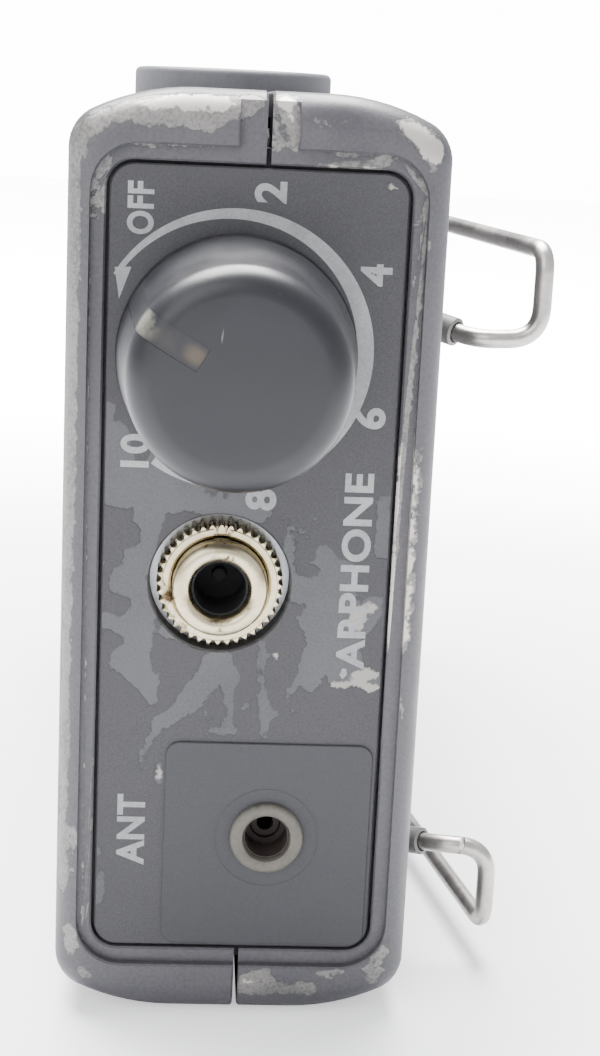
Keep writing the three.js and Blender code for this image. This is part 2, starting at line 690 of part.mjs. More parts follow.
// ---------------------------------------------------------------- receiver board
function addBoard() {
  const boardBackX = boardFaceX + boardThickness;
  const blank = solid(box(boardFaceX, boardBackX, boardFront, boardBack, boardBottomZ, boardTopZ));
  const hole = (place) => solid(cylinder('x', screwRadius + threadGap, 0, halfThickness, place, 16));
  const holes = boardScrews.map(hole);
  add(pack, 'main_board', geometryOf(cut(blank, ...holes)), boardGreen);
  boardScrews.forEach((place, index) => {
    const headX = boardFaceX - seatGap;
    const shank = solid(cylinder('x', screwRadius, headX - 0.1, halfThickness - 1, [0, 0], 16));
    const head = solid(cylinder('x', screwHeadRadius, headX - screwHeadHeight, headX, [0, 0], 24));
    add(pack, `board_screw_${index + 1}`, geometryOf(join(shank, head)), zincSteel, [0, ...place]);
  });

  // Parts stand on the board's -X face: [name, height, y size, z size, y, z, look].
  const face = boardFaceX - seatGap;
  const canSize = 7.2;
  const beforeModule = moduleY - moduleBodyRadius - 0.6 - canSize / 2;
  const afterModule = moduleY + moduleBodyRadius + 1.9 + canSize / 2;
  const low = boardBottomZ + 5.5;
  const high = boardTopZ - 5;
  const blocks = [
    ['receiver_ic', 2, 10, 7, boardFront + 8.5, low + 3.5, blackPlastic],
    ['audio_ic', 3.4, 10, 6.5, boardBack - 12, low, blackPlastic],
    ['coil_can_1', 8, canSize, canSize, boardFront + 4.2, high, aluminium],
    ['coil_can_2', 8, canSize, canSize, beforeModule, high - 1, aluminium],
    ['coil_can_3', 8, canSize, canSize, afterModule, high, aluminium],
    ['crystal_filter', 8.5, 10.5, 4.6, boardBack - 10.5, high - 0.5, steel],
  ];
  blocks.forEach(([name, height, sizeY, sizeZ, y, z, look]) => {
    const block = box(-height, 0, -sizeY / 2, sizeY / 2, -sizeZ / 2, sizeZ / 2);
    add(pack, name, block, look, [face, y, z]);
  });
  const cans = [
    ['capacitor_1', 2.6, 8, afterModule, low + 2, capacitorSleeve],
    ['capacitor_2', 2.6, 8, boardBack - 4, high - 7.5, capacitorSleeve],
    ['trimmer_capacitor', 2.9, 3.5, beforeModule, low + 1, phenolic],
  ];
  cans.forEach(([name, radius, height, y, z, look]) => {
    add(pack, name, cylinder('x', radius, -height, 0, [0, 0], 28), look, [face, y, z]);
  });
}

// ---------------------------------------------------------------- battery and its contacts
function addBattery() {
  const block = roundedRectangle({ x: batteryThickness / 2, z: batteryWidth / 2 }, 1.6);
  const battery = group(0, batteryFrontY, batteryMidZ);
  add(battery, 'battery_can', slab(block, 0, batteryLength, 0.5, 3), batteryCoat);
  const stud = batteryStudSpacing / 2;
  const top = -seatGap;
  const plus = cylinder('y', 2.9, top - batteryStudLength, top, [0, 0], 24);
  add(battery, 'battery_stud_plus', plus, zincSteel, [0, 0, stud]);
  const minus = ring(3.4, 4.2, top - batteryStudLength, top, 24);
  add(battery, 'battery_stud_minus', minus, zincSteel, [0, 0, -stud]);

  const plateFront = snapPlateY - batteryFrontY;
  const plateBack = plateFront + snapPlateThickness;
  const plateHalf = { x: batteryThickness / 2 + nutGap, z: batteryWidth / 2 - 1 };
  const plate = box(-plateHalf.x, plateHalf.x, plateFront, plateBack, -plateHalf.z, plateHalf.z);
  add(battery, 'snap_plate', plate, phenolic);
  const cup = ring(3.15, 3.9, plateBack + seatGap, top - 0.4, 24);
  add(battery, 'snap_contact_plus', cup, zincSteel, [0, 0, stud]);
  const post = cylinder('y', 3.1, plateBack + seatGap, top - 0.4, [0, 0], 24);
  add(battery, 'snap_contact_minus', post, zincSteel, [0, 0, -stud]);

  const foamTopZ = -batteryWidth / 2 - seatGap;
  const foamFootZ = foamTopZ - batteryFoamThickness;
  add(battery, 'battery_foam', box(-3.6, 3.6, 3, batteryLength - 5, foamFootZ, foamTopZ), foam);
}

// ---------------------------------------------------------------- battery door
function addDoor() {
  const door = group(0, doorPinY, doorPinZ);
  const outer = backY - doorPinY;
  const foot = doorBottomZ - doorPinZ;
  const plate = solid(box(-doorHalfWidth, doorHalfWidth, outer - endWall, outer, foot, 0));
  const knuckle = solid(cylinder('x', doorKnuckleRadius, -doorHalfWidth, doorHalfWidth, [0, 0], 24));
  const boreReach = doorHalfWidth + 1;
  const bore = solid(cylinder('x', doorPinRadius + threadGap, -boreReach, boreReach, [0, 0], 20));
  const fingerNotch = solid(cylinder('y', 4, outer - 0.8, outer + 1, [0, foot - 1.6], 32));
  add(door, 'battery_door', geometryOf(cut(join(plate, knuckle), bore, fingerNotch)), casePaint);
  add(door, 'door_hinge_pin', cylinder('x', doorPinRadius, -innerX - 0.6, innerX + 0.6, [0, 0], 16), steel);
}

// ---------------------------------------------------------------- belt clip
// One side of the wire from its foot inside the shell to the lifted tip, in the clip's own frame:
// X from the case back, Y along the pack from the front loops, Z from the clip's centre.
function clipSide(side) {
  const inside = -wall - wireRadius - clipFootGap;
  const armEnd = { x: wireRadius + 0.1, y: clipArmLength };
  const standoff = side > 0 ? clipStandoff : clipStandoff - clipLowerDroop;
  const rows = [
    [inside, clipFootY - clipAnchorY, clipLegSpread + 4.2, 0],
    [inside, clipFootY - clipAnchorY, clipLegSpread + 1.2, 0.9],
    [3.3, 0, clipLegSpread - 0.2, 1.4],
    [standoff, 0, clipLegSpread, 2.1],
    [standoff, 0, clipArmSpread, 1.5],
    [armEnd.x, armEnd.y, clipArmSpread + 0.5, 3],
    [clipTipLift, armEnd.y + clipTipLength, clipArmSpread + 0.2, 3.2],
  ];
  return rows.map(([x, y, z, bend]) => [x, y, side * z, bend]);
}

function addBeltClip() {
  const clip = group(halfThickness, clipAnchorY, clipCentreZ);
  const wire = bentPath([...clipSide(1), ...clipSide(-1).reverse()]);
  const sleeveBore = wireRadius + 0.1;
  add(clip, 'belt_clip', alongPath(circle(wireRadius), wire, 130), steel);
  [['clip_sleeve_upper', 1], ['clip_sleeve_lower', -1]].forEach(([name, side]) => {
    const [, foot, bend] = clipSide(side).map(([x, y, z]) => new THREE.Vector3(x, y, z));
    const [to, from] = sleeveSpan.map((share) => bend.clone().lerp(foot, share));
    const sleeve = new THREE.LineCurve3(from, to);
    const tube = circle(sleeveBore + sleeveThickness, sleeveBore);
    add(clip, name, alongPath(tube, sleeve, 2), sleevePlastic);
  });
}

addCase();
addPanel();
addVolumeControl();
addJack();
addAntennaSocket();
addChannelModule();
addBoard();
addBattery();
addDoor();
addBeltClip();

export default pack;
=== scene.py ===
"""Wireless bodypack receiver: its finished surfaces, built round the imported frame.

Sizes of the pack are in millimetres and become metres when a mesh is made; the lights, the camera's lens
and the floor say their own units. +Z is up across the pack's width, -Y points out of the control panel and
+X points to the belt clip.
"""
import math

import bmesh
import bpy
import numpy as np
from mathutils import Matrix, Vector


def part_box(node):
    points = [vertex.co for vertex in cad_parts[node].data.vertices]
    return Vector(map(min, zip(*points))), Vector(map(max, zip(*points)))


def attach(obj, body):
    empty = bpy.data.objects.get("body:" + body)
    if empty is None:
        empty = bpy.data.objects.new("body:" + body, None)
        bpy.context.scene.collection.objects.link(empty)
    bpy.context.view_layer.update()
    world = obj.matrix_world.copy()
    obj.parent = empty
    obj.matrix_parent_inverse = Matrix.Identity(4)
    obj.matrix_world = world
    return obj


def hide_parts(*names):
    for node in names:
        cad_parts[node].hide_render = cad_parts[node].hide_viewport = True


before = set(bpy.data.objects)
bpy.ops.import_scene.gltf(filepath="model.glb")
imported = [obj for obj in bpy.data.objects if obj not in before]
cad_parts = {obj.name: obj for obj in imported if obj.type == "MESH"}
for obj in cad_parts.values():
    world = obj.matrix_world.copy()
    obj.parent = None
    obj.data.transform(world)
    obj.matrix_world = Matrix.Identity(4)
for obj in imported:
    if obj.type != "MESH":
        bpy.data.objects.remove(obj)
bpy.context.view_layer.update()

MM = 0.001

# ---------------------------------------------------------------- sizes shared with the frame
FRONT_Y = -46.0
BACK_Y = 46.0
HALF_THICKNESS = 11.65
CASE_WIDTH = 60.0
MID_Z = 30.0
WALL = 1.6
END_WALL = 2.0
CORNER = 2.6
END_ROUNDING = 2.0
CROWN = 14.0
LAND = 4.0
SEAM_X = 0.4
SEAM_GAP = 0.3
SEAM_CHAMFER = 0.14
INNER_X = HALF_THICKNESS - WALL
INNER_BACK_Y = BACK_Y - END_WALL

PANEL_Z = 30.1
FRAME_HALF = (10.2, 26.5)
FRAME_CORNER = 3.0
LEDGE_Y = FRONT_Y + 0.6
WINDOW_HALF = (9.25, 25.55)
WINDOW_CORNER = 1.7
PANEL_HALF = (9.05, 25.35)
PANEL_CORNER = 1.5
PANEL_Y = FRONT_Y + 0.65
FLANGE_HALF = (10.35, 26.65)
FLANGE_Y = LEDGE_Y + 1.05
RIB_Y = -42.55
CAVITY_Y = -41.35
NOTCH_HALF = 1.8

# Centres on the panel as (x, z), on the upper narrow side as (x, y), and on the broad sides as (y, z).
KNOB_AT = (-1.1, 44.2)
JACK_AT = (-1.6, 29.6)
ANTENNA_AT = (2.05, 12.6)
PAD_AT = (2.05, 12.0)
SCALE_AT = (-1.3, 44.35)
MODULE_AT = (-1.1, 0.5)
SCREWS = [(-35.75, 4.8), (-35.75, 55.4), (38.5, 55.2), (38.5, 33.5)]
SCREW_SHANK = 1.0
SCREW_HEAD = 1.9
SCREW_SEAT_X = 10.15
THREAD_HOLE = 1.12
BOSS = 2.3

# Radius and height of the module's seat, of the bore under it and of the module's own head.
MODULE_SEAT = (8.5, 59.2)
MODULE_BORE = (6.6, 54.8)
MODULE_HEAD = (8.2, 61.85)

DOOR_PIN = (44.6, 32.0)
PIN_HOLE = 0.72
DOOR_HALF = 9.0
DOOR_FOOT = 2.6
DOOR_GAP = 0.3

POINTER_ANGLE = math.radians(150)
ANTENNA_HOLE = 2.1

CLIP_AT = (HALF_THICKNESS, -37.3, 26.8)
# The clip's two holes in the back half: their y, how far each lies from the clip's middle, and half sizes.
CLIP_HOLES = (-34.0, 19.0)
CLIP_HOLE_HALF = (2.4, 1.3)

# ---------------------------------------------------------------- camera and light
CAMERA_AT = (-3.8, -155.35, 59.1)
CAMERA_HEADING = -3.7
CAMERA_DROP = 13.14
CAMERA_ROLL = 2.72
CAMERA_LENS = 61.36


def add_camera():
    data = bpy.data.cameras.new("view")
    data.sensor_width = 36
    data.lens = CAMERA_LENS
    data.clip_start = 0.01
    camera = bpy.data.objects.new("view", data)
    turn = Matrix.Rotation(math.radians(CAMERA_HEADING), 4, "Z")
    turn @= Matrix.Rotation(math.radians(90 - CAMERA_DROP), 4, "X")
    turn @= Matrix.Rotation(math.radians(CAMERA_ROLL), 4, "Z")
    camera.matrix_world = Matrix.Translation(Vector(CAMERA_AT) * MM) @ turn
    bpy.context.scene.collection.objects.link(camera)
    bpy.context.scene.camera = camera


def add_light(name, at, aim, size, power):
    """A soft rectangular light; places and size are in metres, and power in watts."""
    data = bpy.data.lights.new(name, "AREA")
    data.shape = "RECTANGLE"
    data.size, data.size_y = size
    data.energy = power
    light = bpy.data.objects.new(name, data)
    direction = Vector(aim) - Vector(at)
    light.matrix_world = Matrix.Translation(at) @ direction.to_track_quat("-Z", "Y").to_matrix().to_4x4()
    bpy.context.scene.collection.objects.link(light)


def add_world(glow, seen):
    """A soft white dome: glow lights the pack, and seen is the plain backdrop behind it."""
    world = bpy.data.worlds.new("studio")
    bpy.context.scene.world = world
    world.use_nodes = True
    tree = world.node_tree
    tree.nodes.clear()
    lighting = tree.nodes.new("ShaderNodeBackground")
    lighting.inputs["Color"].default_value = (0.93, 0.96, 1.0, 1)
    lighting.inputs["Strength"].default_value = glow
    backdrop = tree.nodes.new("ShaderNodeBackground")
    backdrop.inputs["Color"].default_value = (0.99, 0.99, 1.0, 1)
    backdrop.inputs["Strength"].default_value = seen
    path = tree.nodes.new("ShaderNodeLightPath")
    mix = tree.nodes.new("ShaderNodeMixShader")
    out = tree.nodes.new("ShaderNodeOutputWorld")
    tree.links.new(path.outputs["Is Camera Ray"], mix.inputs[0])
    tree.links.new(lighting.outputs[0], mix.inputs[1])
    tree.links.new(backdrop.outputs[0], mix.inputs[2])
    tree.links.new(mix.outputs[0], out.inputs["Surface"])


add_camera()
add_world(glow=1.25, seen=15.0)
add_light("overhead", (-0.06, 0.2, 0.6), (0, 0.02, 0), (0.5, 0.45), 27)
add_light("front_fill", (-0.3, -0.55, 0.4), (0, 0, 0.03), (0.5, 0.5), 2.4)


# ---------------------------------------------------------------- shader helpers
class Tree:
    """Adds nodes to one node tree; a socket given as an input is linked, and anything else is a value."""

    def __init__(self, tree):
        self.tree = tree

    def put(self, kind, inputs=None, **settings):
        made = self.tree.nodes.new(kind)
        for key, value in settings.items():
            setattr(made, key, value)
        for key, value in (inputs or {}).items():
            socket = made.inputs[key]
            if isinstance(value, bpy.types.NodeSocket):
                self.tree.links.new(value, socket)
            else:
                socket.default_value = value
        return made

    def math(self, operation, a, b=0.0):
        return self.put("ShaderNodeMath", {0: a, 1: b}, operation=operation).outputs[0]

    def noise(self, vector, scale, detail=3.0, roughness=0.55, distortion=0.0):
        values = {"Vector": vector, "Scale": scale, "Detail": detail, "Roughness": roughness,
                  "Distortion": distortion}
        return self.put("ShaderNodeTexNoise", values).outputs["Fac"]

    def span(self, value, low, high, to_low=0.0, to_high=1.0):
        """The value carried smoothly from low..high onto to_low..to_high."""
        values = {"Value": value, "From Min": low, "From Max": high, "To Min": to_low, "To Max": to_high}
        return self.put("ShaderNodeMapRange", values, interpolation_type="SMOOTHSTEP").outputs[0]

    def blend(self, factor, a, b):
        """Colour a turned into colour b; a colour mix keeps its colours on sockets 6 and 7."""
        return self.put("ShaderNodeMix", {0: factor, 6: a, 7: b}, data_type="RGBA").outputs[2]

    def mix(self, factor, a, b):
        """Number a turned into number b; a number mix keeps them on sockets 2 and 3."""
        return self.put("ShaderNodeMix", {0: factor, 2: a, 3: b}).outputs[0]


def new_group(name, inputs, outputs):
    group = bpy.data.node_groups.new(name, "ShaderNodeTree")
    for label, kind, default in inputs:
        socket = group.interface.new_socket(label, in_out="INPUT", socket_type=kind)
        if default is not None:
            socket.default_value = default
    for label, kind in outputs:
        group.interface.new_socket(label, in_out="OUTPUT", socket_type=kind)
    entry = group.nodes.new("NodeGroupInput")
    leave = group.nodes.new("NodeGroupOutput")
    return group, Tree(group), entry.outputs, leave.inputs


FLOAT = "NodeSocketFloat"
VECTOR = "NodeSocketVector"


def grain_group():
    """Fine tooth of a surface: a cloudy tone, a fine tone and a height, each about 0.5."""
    group, tree, given, out = new_group(
        "surface_grain",
        [("Vector", VECTOR, None), ("Grain Size", FLOAT, 0.3), ("Cloud Size", FLOAT, 6.0)],
        [("Fine", FLOAT), ("Cloud", FLOAT), ("Height", FLOAT)],
    )
    fine_scale = tree.math("DIVIDE", 1 / MM, given["Grain Size"])
    cloud_scale = tree.math("DIVIDE", 1 / MM, given["Cloud Size"])
    fine = tree.noise(given["Vector"], fine_scale, 2.0, 0.6)
    cloud = tree.noise(given["Vector"], cloud_scale, 4.0, 0.6)
    pits = tree.noise(given["Vector"], tree.math("MULTIPLY", fine_scale, 0.4), 3.0, 0.5)
    height = tree.math("ADD", tree.math("MULTIPLY", fine, 0.6), tree.math("MULTIPLY", pits, 0.4))
    tree.tree.links.new(fine, out["Fine"])
    tree.tree.links.new(cloud, out["Cloud"])
    tree.tree.links.new(height, out["Height"])
    return group


def wear_group():
    """Ragged worn patches: Field is the distance inside a patch in millimetres, below zero outside it."""
    group, tree, given, out = new_group(
        "worn_patches",
        [
            ("Vector", VECTOR, None),
            ("Field", FLOAT, -1.0),
            ("Raggedness", FLOAT, 0.5),
            ("Ragged Size", FLOAT, 1.2),
            ("Feather", FLOAT, 0.03),
        ],
        [("Mask", FLOAT), ("Rim", FLOAT), ("Height", FLOAT)],
    )
    scale = tree.math("DIVIDE", 1 / MM, given["Ragged Size"])
    coarse = tree.noise(given["Vector"], scale, 5.0, 0.62, 0.4)
    fine = tree.noise(given["Vector"], tree.math("MULTIPLY", scale, 4.0), 3.0, 0.6)
    shake = tree.math("ADD", tree.math("MULTIPLY", coarse, 0.75), tree.math("MULTIPLY", fine, 0.25))
    reach = tree.math("MULTIPLY", given["Raggedness"], 4.0)
    swing = tree.math("MULTIPLY", tree.math("SUBTRACT", shake, 0.5), reach)
    field = tree.math("ADD", given["Field"], swing)
    feather = given["Feather"]
    mask = tree.span(field, tree.math("MULTIPLY", feather, -1.0), feather)
    rim = tree.span(tree.math("ABSOLUTE", field), 0.0, tree.math("MULTIPLY", feather, 4.0), 1.0, 0.0)
    height = tree.math("SUBTRACT", 1.0, mask)
    tree.tree.links.new(mask, out["Mask"])
    tree.tree.links.new(rim, out["Rim"])
    tree.tree.links.new(height, out["Height"])
    return group


def scuff_group():
    """Hair scratches along one direction, broken into short lengths."""
    group, tree, given, out = new_group(
        "scuffs",
        [
            ("Vector", VECTOR, None),
            ("Along", VECTOR, (1.0, 1.0, 0.06)),
            ("Spacing", FLOAT, 0.4),
            ("Amount", FLOAT, 0.5),
        ],
        [("Mask", FLOAT)],
    )
    ends = {0: given["Vector"], 1: given["Along"]}
    stretched = tree.put("ShaderNodeVectorMath", ends, operation="MULTIPLY").outputs[0]
    scale = tree.math("DIVIDE", 1 / MM, given["Spacing"])
    lines = tree.noise(stretched, scale, 3.0, 0.7, 0.3)
    broken = tree.noise(given["Vector"], tree.math("MULTIPLY", scale, 0.12), 2.0, 0.5)
    limit = tree.math("SUBTRACT", 0.78, tree.math("MULTIPLY", given["Amount"], 0.14))
    thin = tree.span(lines, limit, tree.math("ADD", limit, 0.05))
    mask = tree.math("MULTIPLY", thin, tree.span(broken, 0.45, 0.6))
    tree.tree.links.new(mask, out["Mask"])
    return group


GRAIN = grain_group()
WEAR = wear_group()
SCUFF = scuff_group()


def colour(red, green, blue):
    """A colour given as it looks on paper, 0 to 255, as scene-linear values."""
    def linear(value):
        value /= 255
        return value / 12.92 if value <= 0.04045 else ((value + 0.055) / 1.055) ** 2.4
    return (linear(red), linear(green), linear(blue), 1.0)


def start_material(name):
    material = bpy.data.materials.new(name)
    material.use_nodes = True
    tree = Tree(material.node_tree)
    bsdf = material.node_tree.nodes["Principled BSDF"]
    place = tree.put("ShaderNodeTexCoord").outputs["Object"]
    return material, tree, bsdf, place


def use_group(tree, group, inputs):
    return tree.put("ShaderNodeGroup", inputs, node_tree=group).outputs


def shade(bsdf, tree, base=None, rough=None, metal=None, height=None, strength=0.3, depth=0.05):
    """Links the changing values to the shader and sets the constant ones; depth is the bump's in mm."""
    for socket, value in (("Base Color", base), ("Roughness", rough), ("Metallic", metal)):
        if isinstance(value, bpy.types.NodeSocket):
            tree.tree.links.new(value, bsdf.inputs[socket])
        elif value is not None:
            bsdf.inputs[socket].default_value = value
    if height is not None:
        bump = tree.put("ShaderNodeBump", {"Height": height, "Strength": strength, "Distance": depth * MM})
        tree.tree.links.new(bump.outputs[0], bsdf.inputs["Normal"])


def plain_material(name, dark, light, rough, metal=0.0, grain=0.3, cloud=6.0, strength=0.25, depth=0.03,
                   dirt=None, dirt_share=0.5, scratch=0.0):
    """One finish with grain, cloudy tone, uneven gloss, optional dirt and scratches."""
    material, tree, bsdf, place = start_material(name)
    tooth = use_group(tree, GRAIN, {"Vector": place, "Grain Size": grain, "Cloud Size": cloud})
    tone = tree.mix(0.35, tooth["Cloud"], tooth["Fine"])
    base = tree.blend(tree.span(tone, 0.32, 0.68), dark, light)
    gloss = tree.span(tooth["Cloud"], 0.3, 0.7, rough - 0.08, rough + 0.08)
    if dirt is not None:
        grime = tree.noise(place, 1 / (2.2 * MM), 5.0, 0.65, 0.5)
        soiled = tree.span(grime, 1 - dirt_share, 1.12 - dirt_share)
        base = tree.blend(soiled, base, dirt)
        gloss = tree.mix(soiled, gloss, 0.75)
    if scratch > 0:
        lines = use_group(tree, SCUFF, {"Vector": place, "Amount": scratch})["Mask"]
        base = tree.blend(tree.math("MULTIPLY", lines, 0.35), base, (0.5, 0.5, 0.5, 1))
    shade(bsdf, tree, base, gloss, metal, tooth["Height"], strength, depth)
    return material


def worn_material(name, paint, bare, bright, rough, ragged, ragged_size, metal_bare, grain):
    """Paint over metal: worn to the metal where the wear attribute says, and brightest well inside."""
    material, tree, bsdf, place = start_material(name)
    field = tree.put("ShaderNodeAttribute", attribute_name="wear").outputs["Fac"]
    polish = tree.put("ShaderNodeAttribute", attribute_name="polish").outputs["Fac"]
    tooth = use_group(tree, GRAIN, {"Vector": place, "Grain Size": grain, "Cloud Size": 7.0})
    worn = use_group(tree, WEAR, {
        "Vector": place, "Field": field, "Raggedness": ragged, "Ragged Size": ragged_size,
    })
    buffed = use_group(tree, WEAR, {
        "Vector": place, "Field": polish, "Raggedness": ragged * 0.8, "Ragged Size": ragged_size * 0.7,
        "Feather": 0.08,
    })
    lines = use_group(tree, SCUFF, {"Vector": place, "Amount": 0.4})["Mask"]
    tone = tree.span(tree.mix(0.5, tooth["Cloud"], tooth["Fine"]), 0.36, 0.64)
    painted = tree.blend(tone, *paint)
    painted = tree.blend(tree.math("MULTIPLY", lines, 0.22), painted, bare[1])
    metal_tone = tree.blend(tone, *bare)
    metal_tone = tree.blend(buffed["Mask"], metal_tone, bright)
    edge = tree.math("MULTIPLY", worn["Rim"], 0.3)
    base = tree.blend(worn["Mask"], painted, metal_tone)
    base = tree.blend(edge, base, paint[0])
    gloss = tree.span(tooth["Cloud"], 0.3, 0.7, rough - 0.07, rough + 0.09)
    gloss = tree.mix(worn["Mask"], gloss, tree.span(tone, 0.0, 1.0, 0.42, 0.58))
    metal = tree.math("MULTIPLY", worn["Mask"], metal_bare)
    height = tree.math("ADD", tree.math("MULTIPLY", tooth["Height"], 0.35), worn["Height"])
    shade(bsdf, tree, base, gloss, metal, height, 0.6, 0.06)
    return material


# ---------------------------------------------------------------- mesh helpers
def mesh_from(name, points, faces):
    """A mesh in metres from points in millimetres, with its faces turned outwards."""
    mesh = bpy.data.meshes.new(name)
    mesh.from_pydata([tuple(float(c) * MM for c in p) for p in points], [], faces)
    work = bmesh.new()
    work.from_mesh(mesh)
    bmesh.ops.recalc_face_normals(work, faces=work.faces)
    work.to_mesh(mesh)
    work.free()
    return mesh


def loft(name, rings):
    """Skin through closed rings of equal counts, with both ends filled."""
    count = len(rings[0])
    points = [p for ring in rings for p in ring]
    faces = []
    for row in range(len(rings) - 1):
        a, b = row * count, (row + 1) * count
        faces += [(a + i, a + (i + 1) % count, b + (i + 1) % count, b + i) for i in range(count)]
    last = (len(rings) - 1) * count
    faces.append(tuple(reversed(range(count))))
    faces.append(tuple(range(last, last + count)))
    return mesh_from(name, points, faces)


def closed_loft(name, rings):
    """Skin through closed rings that meet again at the first one, as on a hoop."""
    count, turns = len(rings[0]), len(rings)
    points = [p for ring in rings for p in ring]
    faces = []
    for row in range(turns):
        a, b = row * count, ((row + 1) % turns) * count
        faces += [(a + i, a + (i + 1) % count, b + (i + 1) % count, b + i) for i in range(count)]
    return mesh_from(name, points, faces)


def turned(name, profile, place, segments=96):
    """A turned solid. The profile runs [radius, height] from axis to axis, or closes on itself off the
    axis; place turns (across, height, up) into a point of the pack."""
    on_axis = profile[0][0] == 0
    rows = profile[1:-1] if on_axis else profile
    angles = [2 * math.pi * i / segments for i in range(segments)]
    rings = [[place(r * math.cos(a), h, r * math.sin(a)) for a in angles] for r, h in rows]
    if not on_axis:
        return closed_loft(name, rings)
    points = [p for ring in rings for p in ring]
    faces = []
    for row in range(len(rings) - 1):
        a, b = row * segments, (row + 1) * segments
        faces += [(a + i, a + (i + 1) % segments, b + (i + 1) % segments, b + i) for i in range(segments)]
    for end, row in ((profile[0], 0), (profile[-1], len(rings) - 1)):
        points.append(place(0, end[1], 0))
        tip, a = len(points) - 1, row * segments
        faces += [(a + i, a + (i + 1) % segments, tip) for i in range(segments)]
    return mesh_from(name, points, faces)


def on_panel(centre):
    """Heights stand out of the panel's face."""
    return lambda x, h, z: (centre[0] + x, PANEL_Y - h, centre[1] + z)


def as_given(a, b, height):
    return (a, b, height)


def out_of_the_end(a, b, height):
    """For outlines in X and Z that stand out of the far end."""
    return (a, height, b)


def along_y(centre):
    return lambda x, h, z: (centre[0] + x, h, centre[1] + z)


def along_z(centre):
    return lambda x, h, z: (centre[0] + x, centre[1] + z, h)


def along_x(centre):
    return lambda x, h, z: (h, centre[0] + x, centre[1] + z)


def rod(radius, low, high, place, segments=48):
    return turned("rod", [(0, low), (radius, low), (radius, high), (0, high)], place, segments)


def flared(radius, low, face, high, chamfer, place, segments=72):
    """A cutter for a round hole whose mouth at the height face gets a chamfer."""
    step = 1 if high > low else -1
    reach = abs(high - face)
    rows = [(0, low), (radius, low), (radius, face - step * chamfer), (radius + chamfer + reach, high),
            (0, high)]
    return turned("hole", rows, place, segments)


def prism(outline, low, high, place):
    """An outline of (a, b) points carried from low to high; place turns (a, b, height) into a point."""
    return loft("prism", [[place(a, b, h) for a, b in outline] for h in (low, high)])


def block(x0, x1, y0, y1, z0, z1):
    outline = [(x0, y0), (x1, y0), (x1, y1), (x0, y1)]
    return prism(outline, z0, z1, as_given)


def arc(cx, cz, radius, start, end, steps):
    angles = np.linspace(start, end, steps)
    return [(cx + radius * math.cos(a), cz + radius * math.sin(a)) for a in angles]


def rounded(half, radius, grow=0.0, steps=10, centre=(0.0, PANEL_Z)):
    """Rounded rectangle in X and Z."""
    hx, hz, r = half[0] + grow, half[1] + grow, radius + grow
    points = []
    for index, (sx, sz) in enumerate(((1, 1), (-1, 1), (-1, -1), (1, -1))):
        start = index * math.pi / 2
        cx, cz = centre[0] + sx * (hx - r), centre[1] + sz * (hz - r)
        points += arc(cx, cz, r, start, start + math.pi / 2, steps)
    return points


def divided(outline, longest=2.0, step=0.5):
    """The same closed outline with its long straight runs split up, so that they can carry wear."""
    points = []
    for (ax, az), (bx, bz) in zip(outline, outline[1:] + outline[:1]):
        length = math.hypot(bx - ax, bz - az)
        count = round(length / step) if length > longest else 1
        points += [(ax + (bx - ax) * i / count, az + (bz - az) * i / count) for i in range(count)]
    return points


def slab(outline_rows):
    """Solid along Y through rows of (outline, y)."""
    return loft("slab", [[(x, y, z) for x, z in outline] for outline, y in outline_rows])


def case_outline(inset):
    """Section of the case: straight long sides, crowned narrow sides with a flat land, round corners."""
    half_x, half_z = HALF_THICKNESS - inset, CASE_WIDTH / 2 - inset
    corner = max(CORNER - inset, 0.4)
    crown = CROWN - inset
    crown_z = half_z - crown
    corner_x = half_x - corner
    corner_z = crown_z + math.sqrt((crown - corner) ** 2 - (corner_x - LAND) ** 2)
    meet = math.atan2(corner_z - crown_z, corner_x - LAND)
    quarter = arc(corner_x, corner_z, corner, 0, meet, 9)
    quarter += arc(LAND, crown_z, crown, meet, math.pi / 2, 8)[1:]
    across = [(x, half_z) for x in np.linspace(LAND, -LAND, 10)[1:-1]]
    top = quarter + across + [(-x, z) for x, z in reversed(quarter)]
    low = top[0][1]
    side = [(-half_x, z) for z in np.linspace(low, -low, 52)[1:-1]]
    half = top + side
    ring = half + [(-x, -z) for x, z in half]
    return [(x, MID_Z + z) for x, z in ring]


def cut(base, *cutters, operation="DIFFERENCE"):
    """The mesh base after a Boolean with each cutter mesh."""
    scene = bpy.context.scene.collection
    body = bpy.data.objects.new("body", base)
    scene.objects.link(body)
    tools = []
    for mesh in cutters:
        tool = bpy.data.objects.new("tool", mesh)
        scene.objects.link(tool)
        tools.append(tool)
        step = body.modifiers.new("step", "BOOLEAN")
        step.object, step.operation, step.solver = tool, operation, "MANIFOLD"
    evaluated = body.evaluated_get(bpy.context.evaluated_depsgraph_get())
    result = bpy.data.meshes.new_from_object(evaluated)
    for made in [body, *tools]:
        bpy.data.objects.remove(made)
    return result


def join(*meshes):
    work = bmesh.new()
    for mesh in meshes:
        work.from_mesh(mesh)
    result = bpy.data.meshes.new("joined")
    work.to_mesh(result)
    work.free()
    return result


def weld(mesh, reach):
    """Merges points closer than reach, in metres, and turns the faces outwards."""
    work = bmesh.new()
    work.from_mesh(mesh)
    bmesh.ops.remove_doubles(work, verts=work.verts, dist=reach)
    bmesh.ops.recalc_face_normals(work, faces=work.faces)
    work.to_mesh(mesh)
    work.free()
    return mesh


def round_mesh(mesh, angle=32):
    mesh.shade_smooth()
    mesh.set_sharp_from_angle(angle=math.radians(angle))


def finish_piece(name, mesh, material, body, slot, *nodes, angle=32, smooth=True):
    """Links a finished mesh as one piece: its look, the body it rides and the nodes it stands for."""
    mesh.name = name
    mesh.materials.clear()
    mesh.materials.append(material)
    for face in mesh.polygons:
        face.material_index = 0
    if smooth:
        round_mesh(mesh, angle)
    piece = bpy.data.objects.new(name, mesh)
    bpy.context.scene.collection.objects.link(piece)
    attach(piece, body)
    if nodes:
        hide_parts(*nodes)


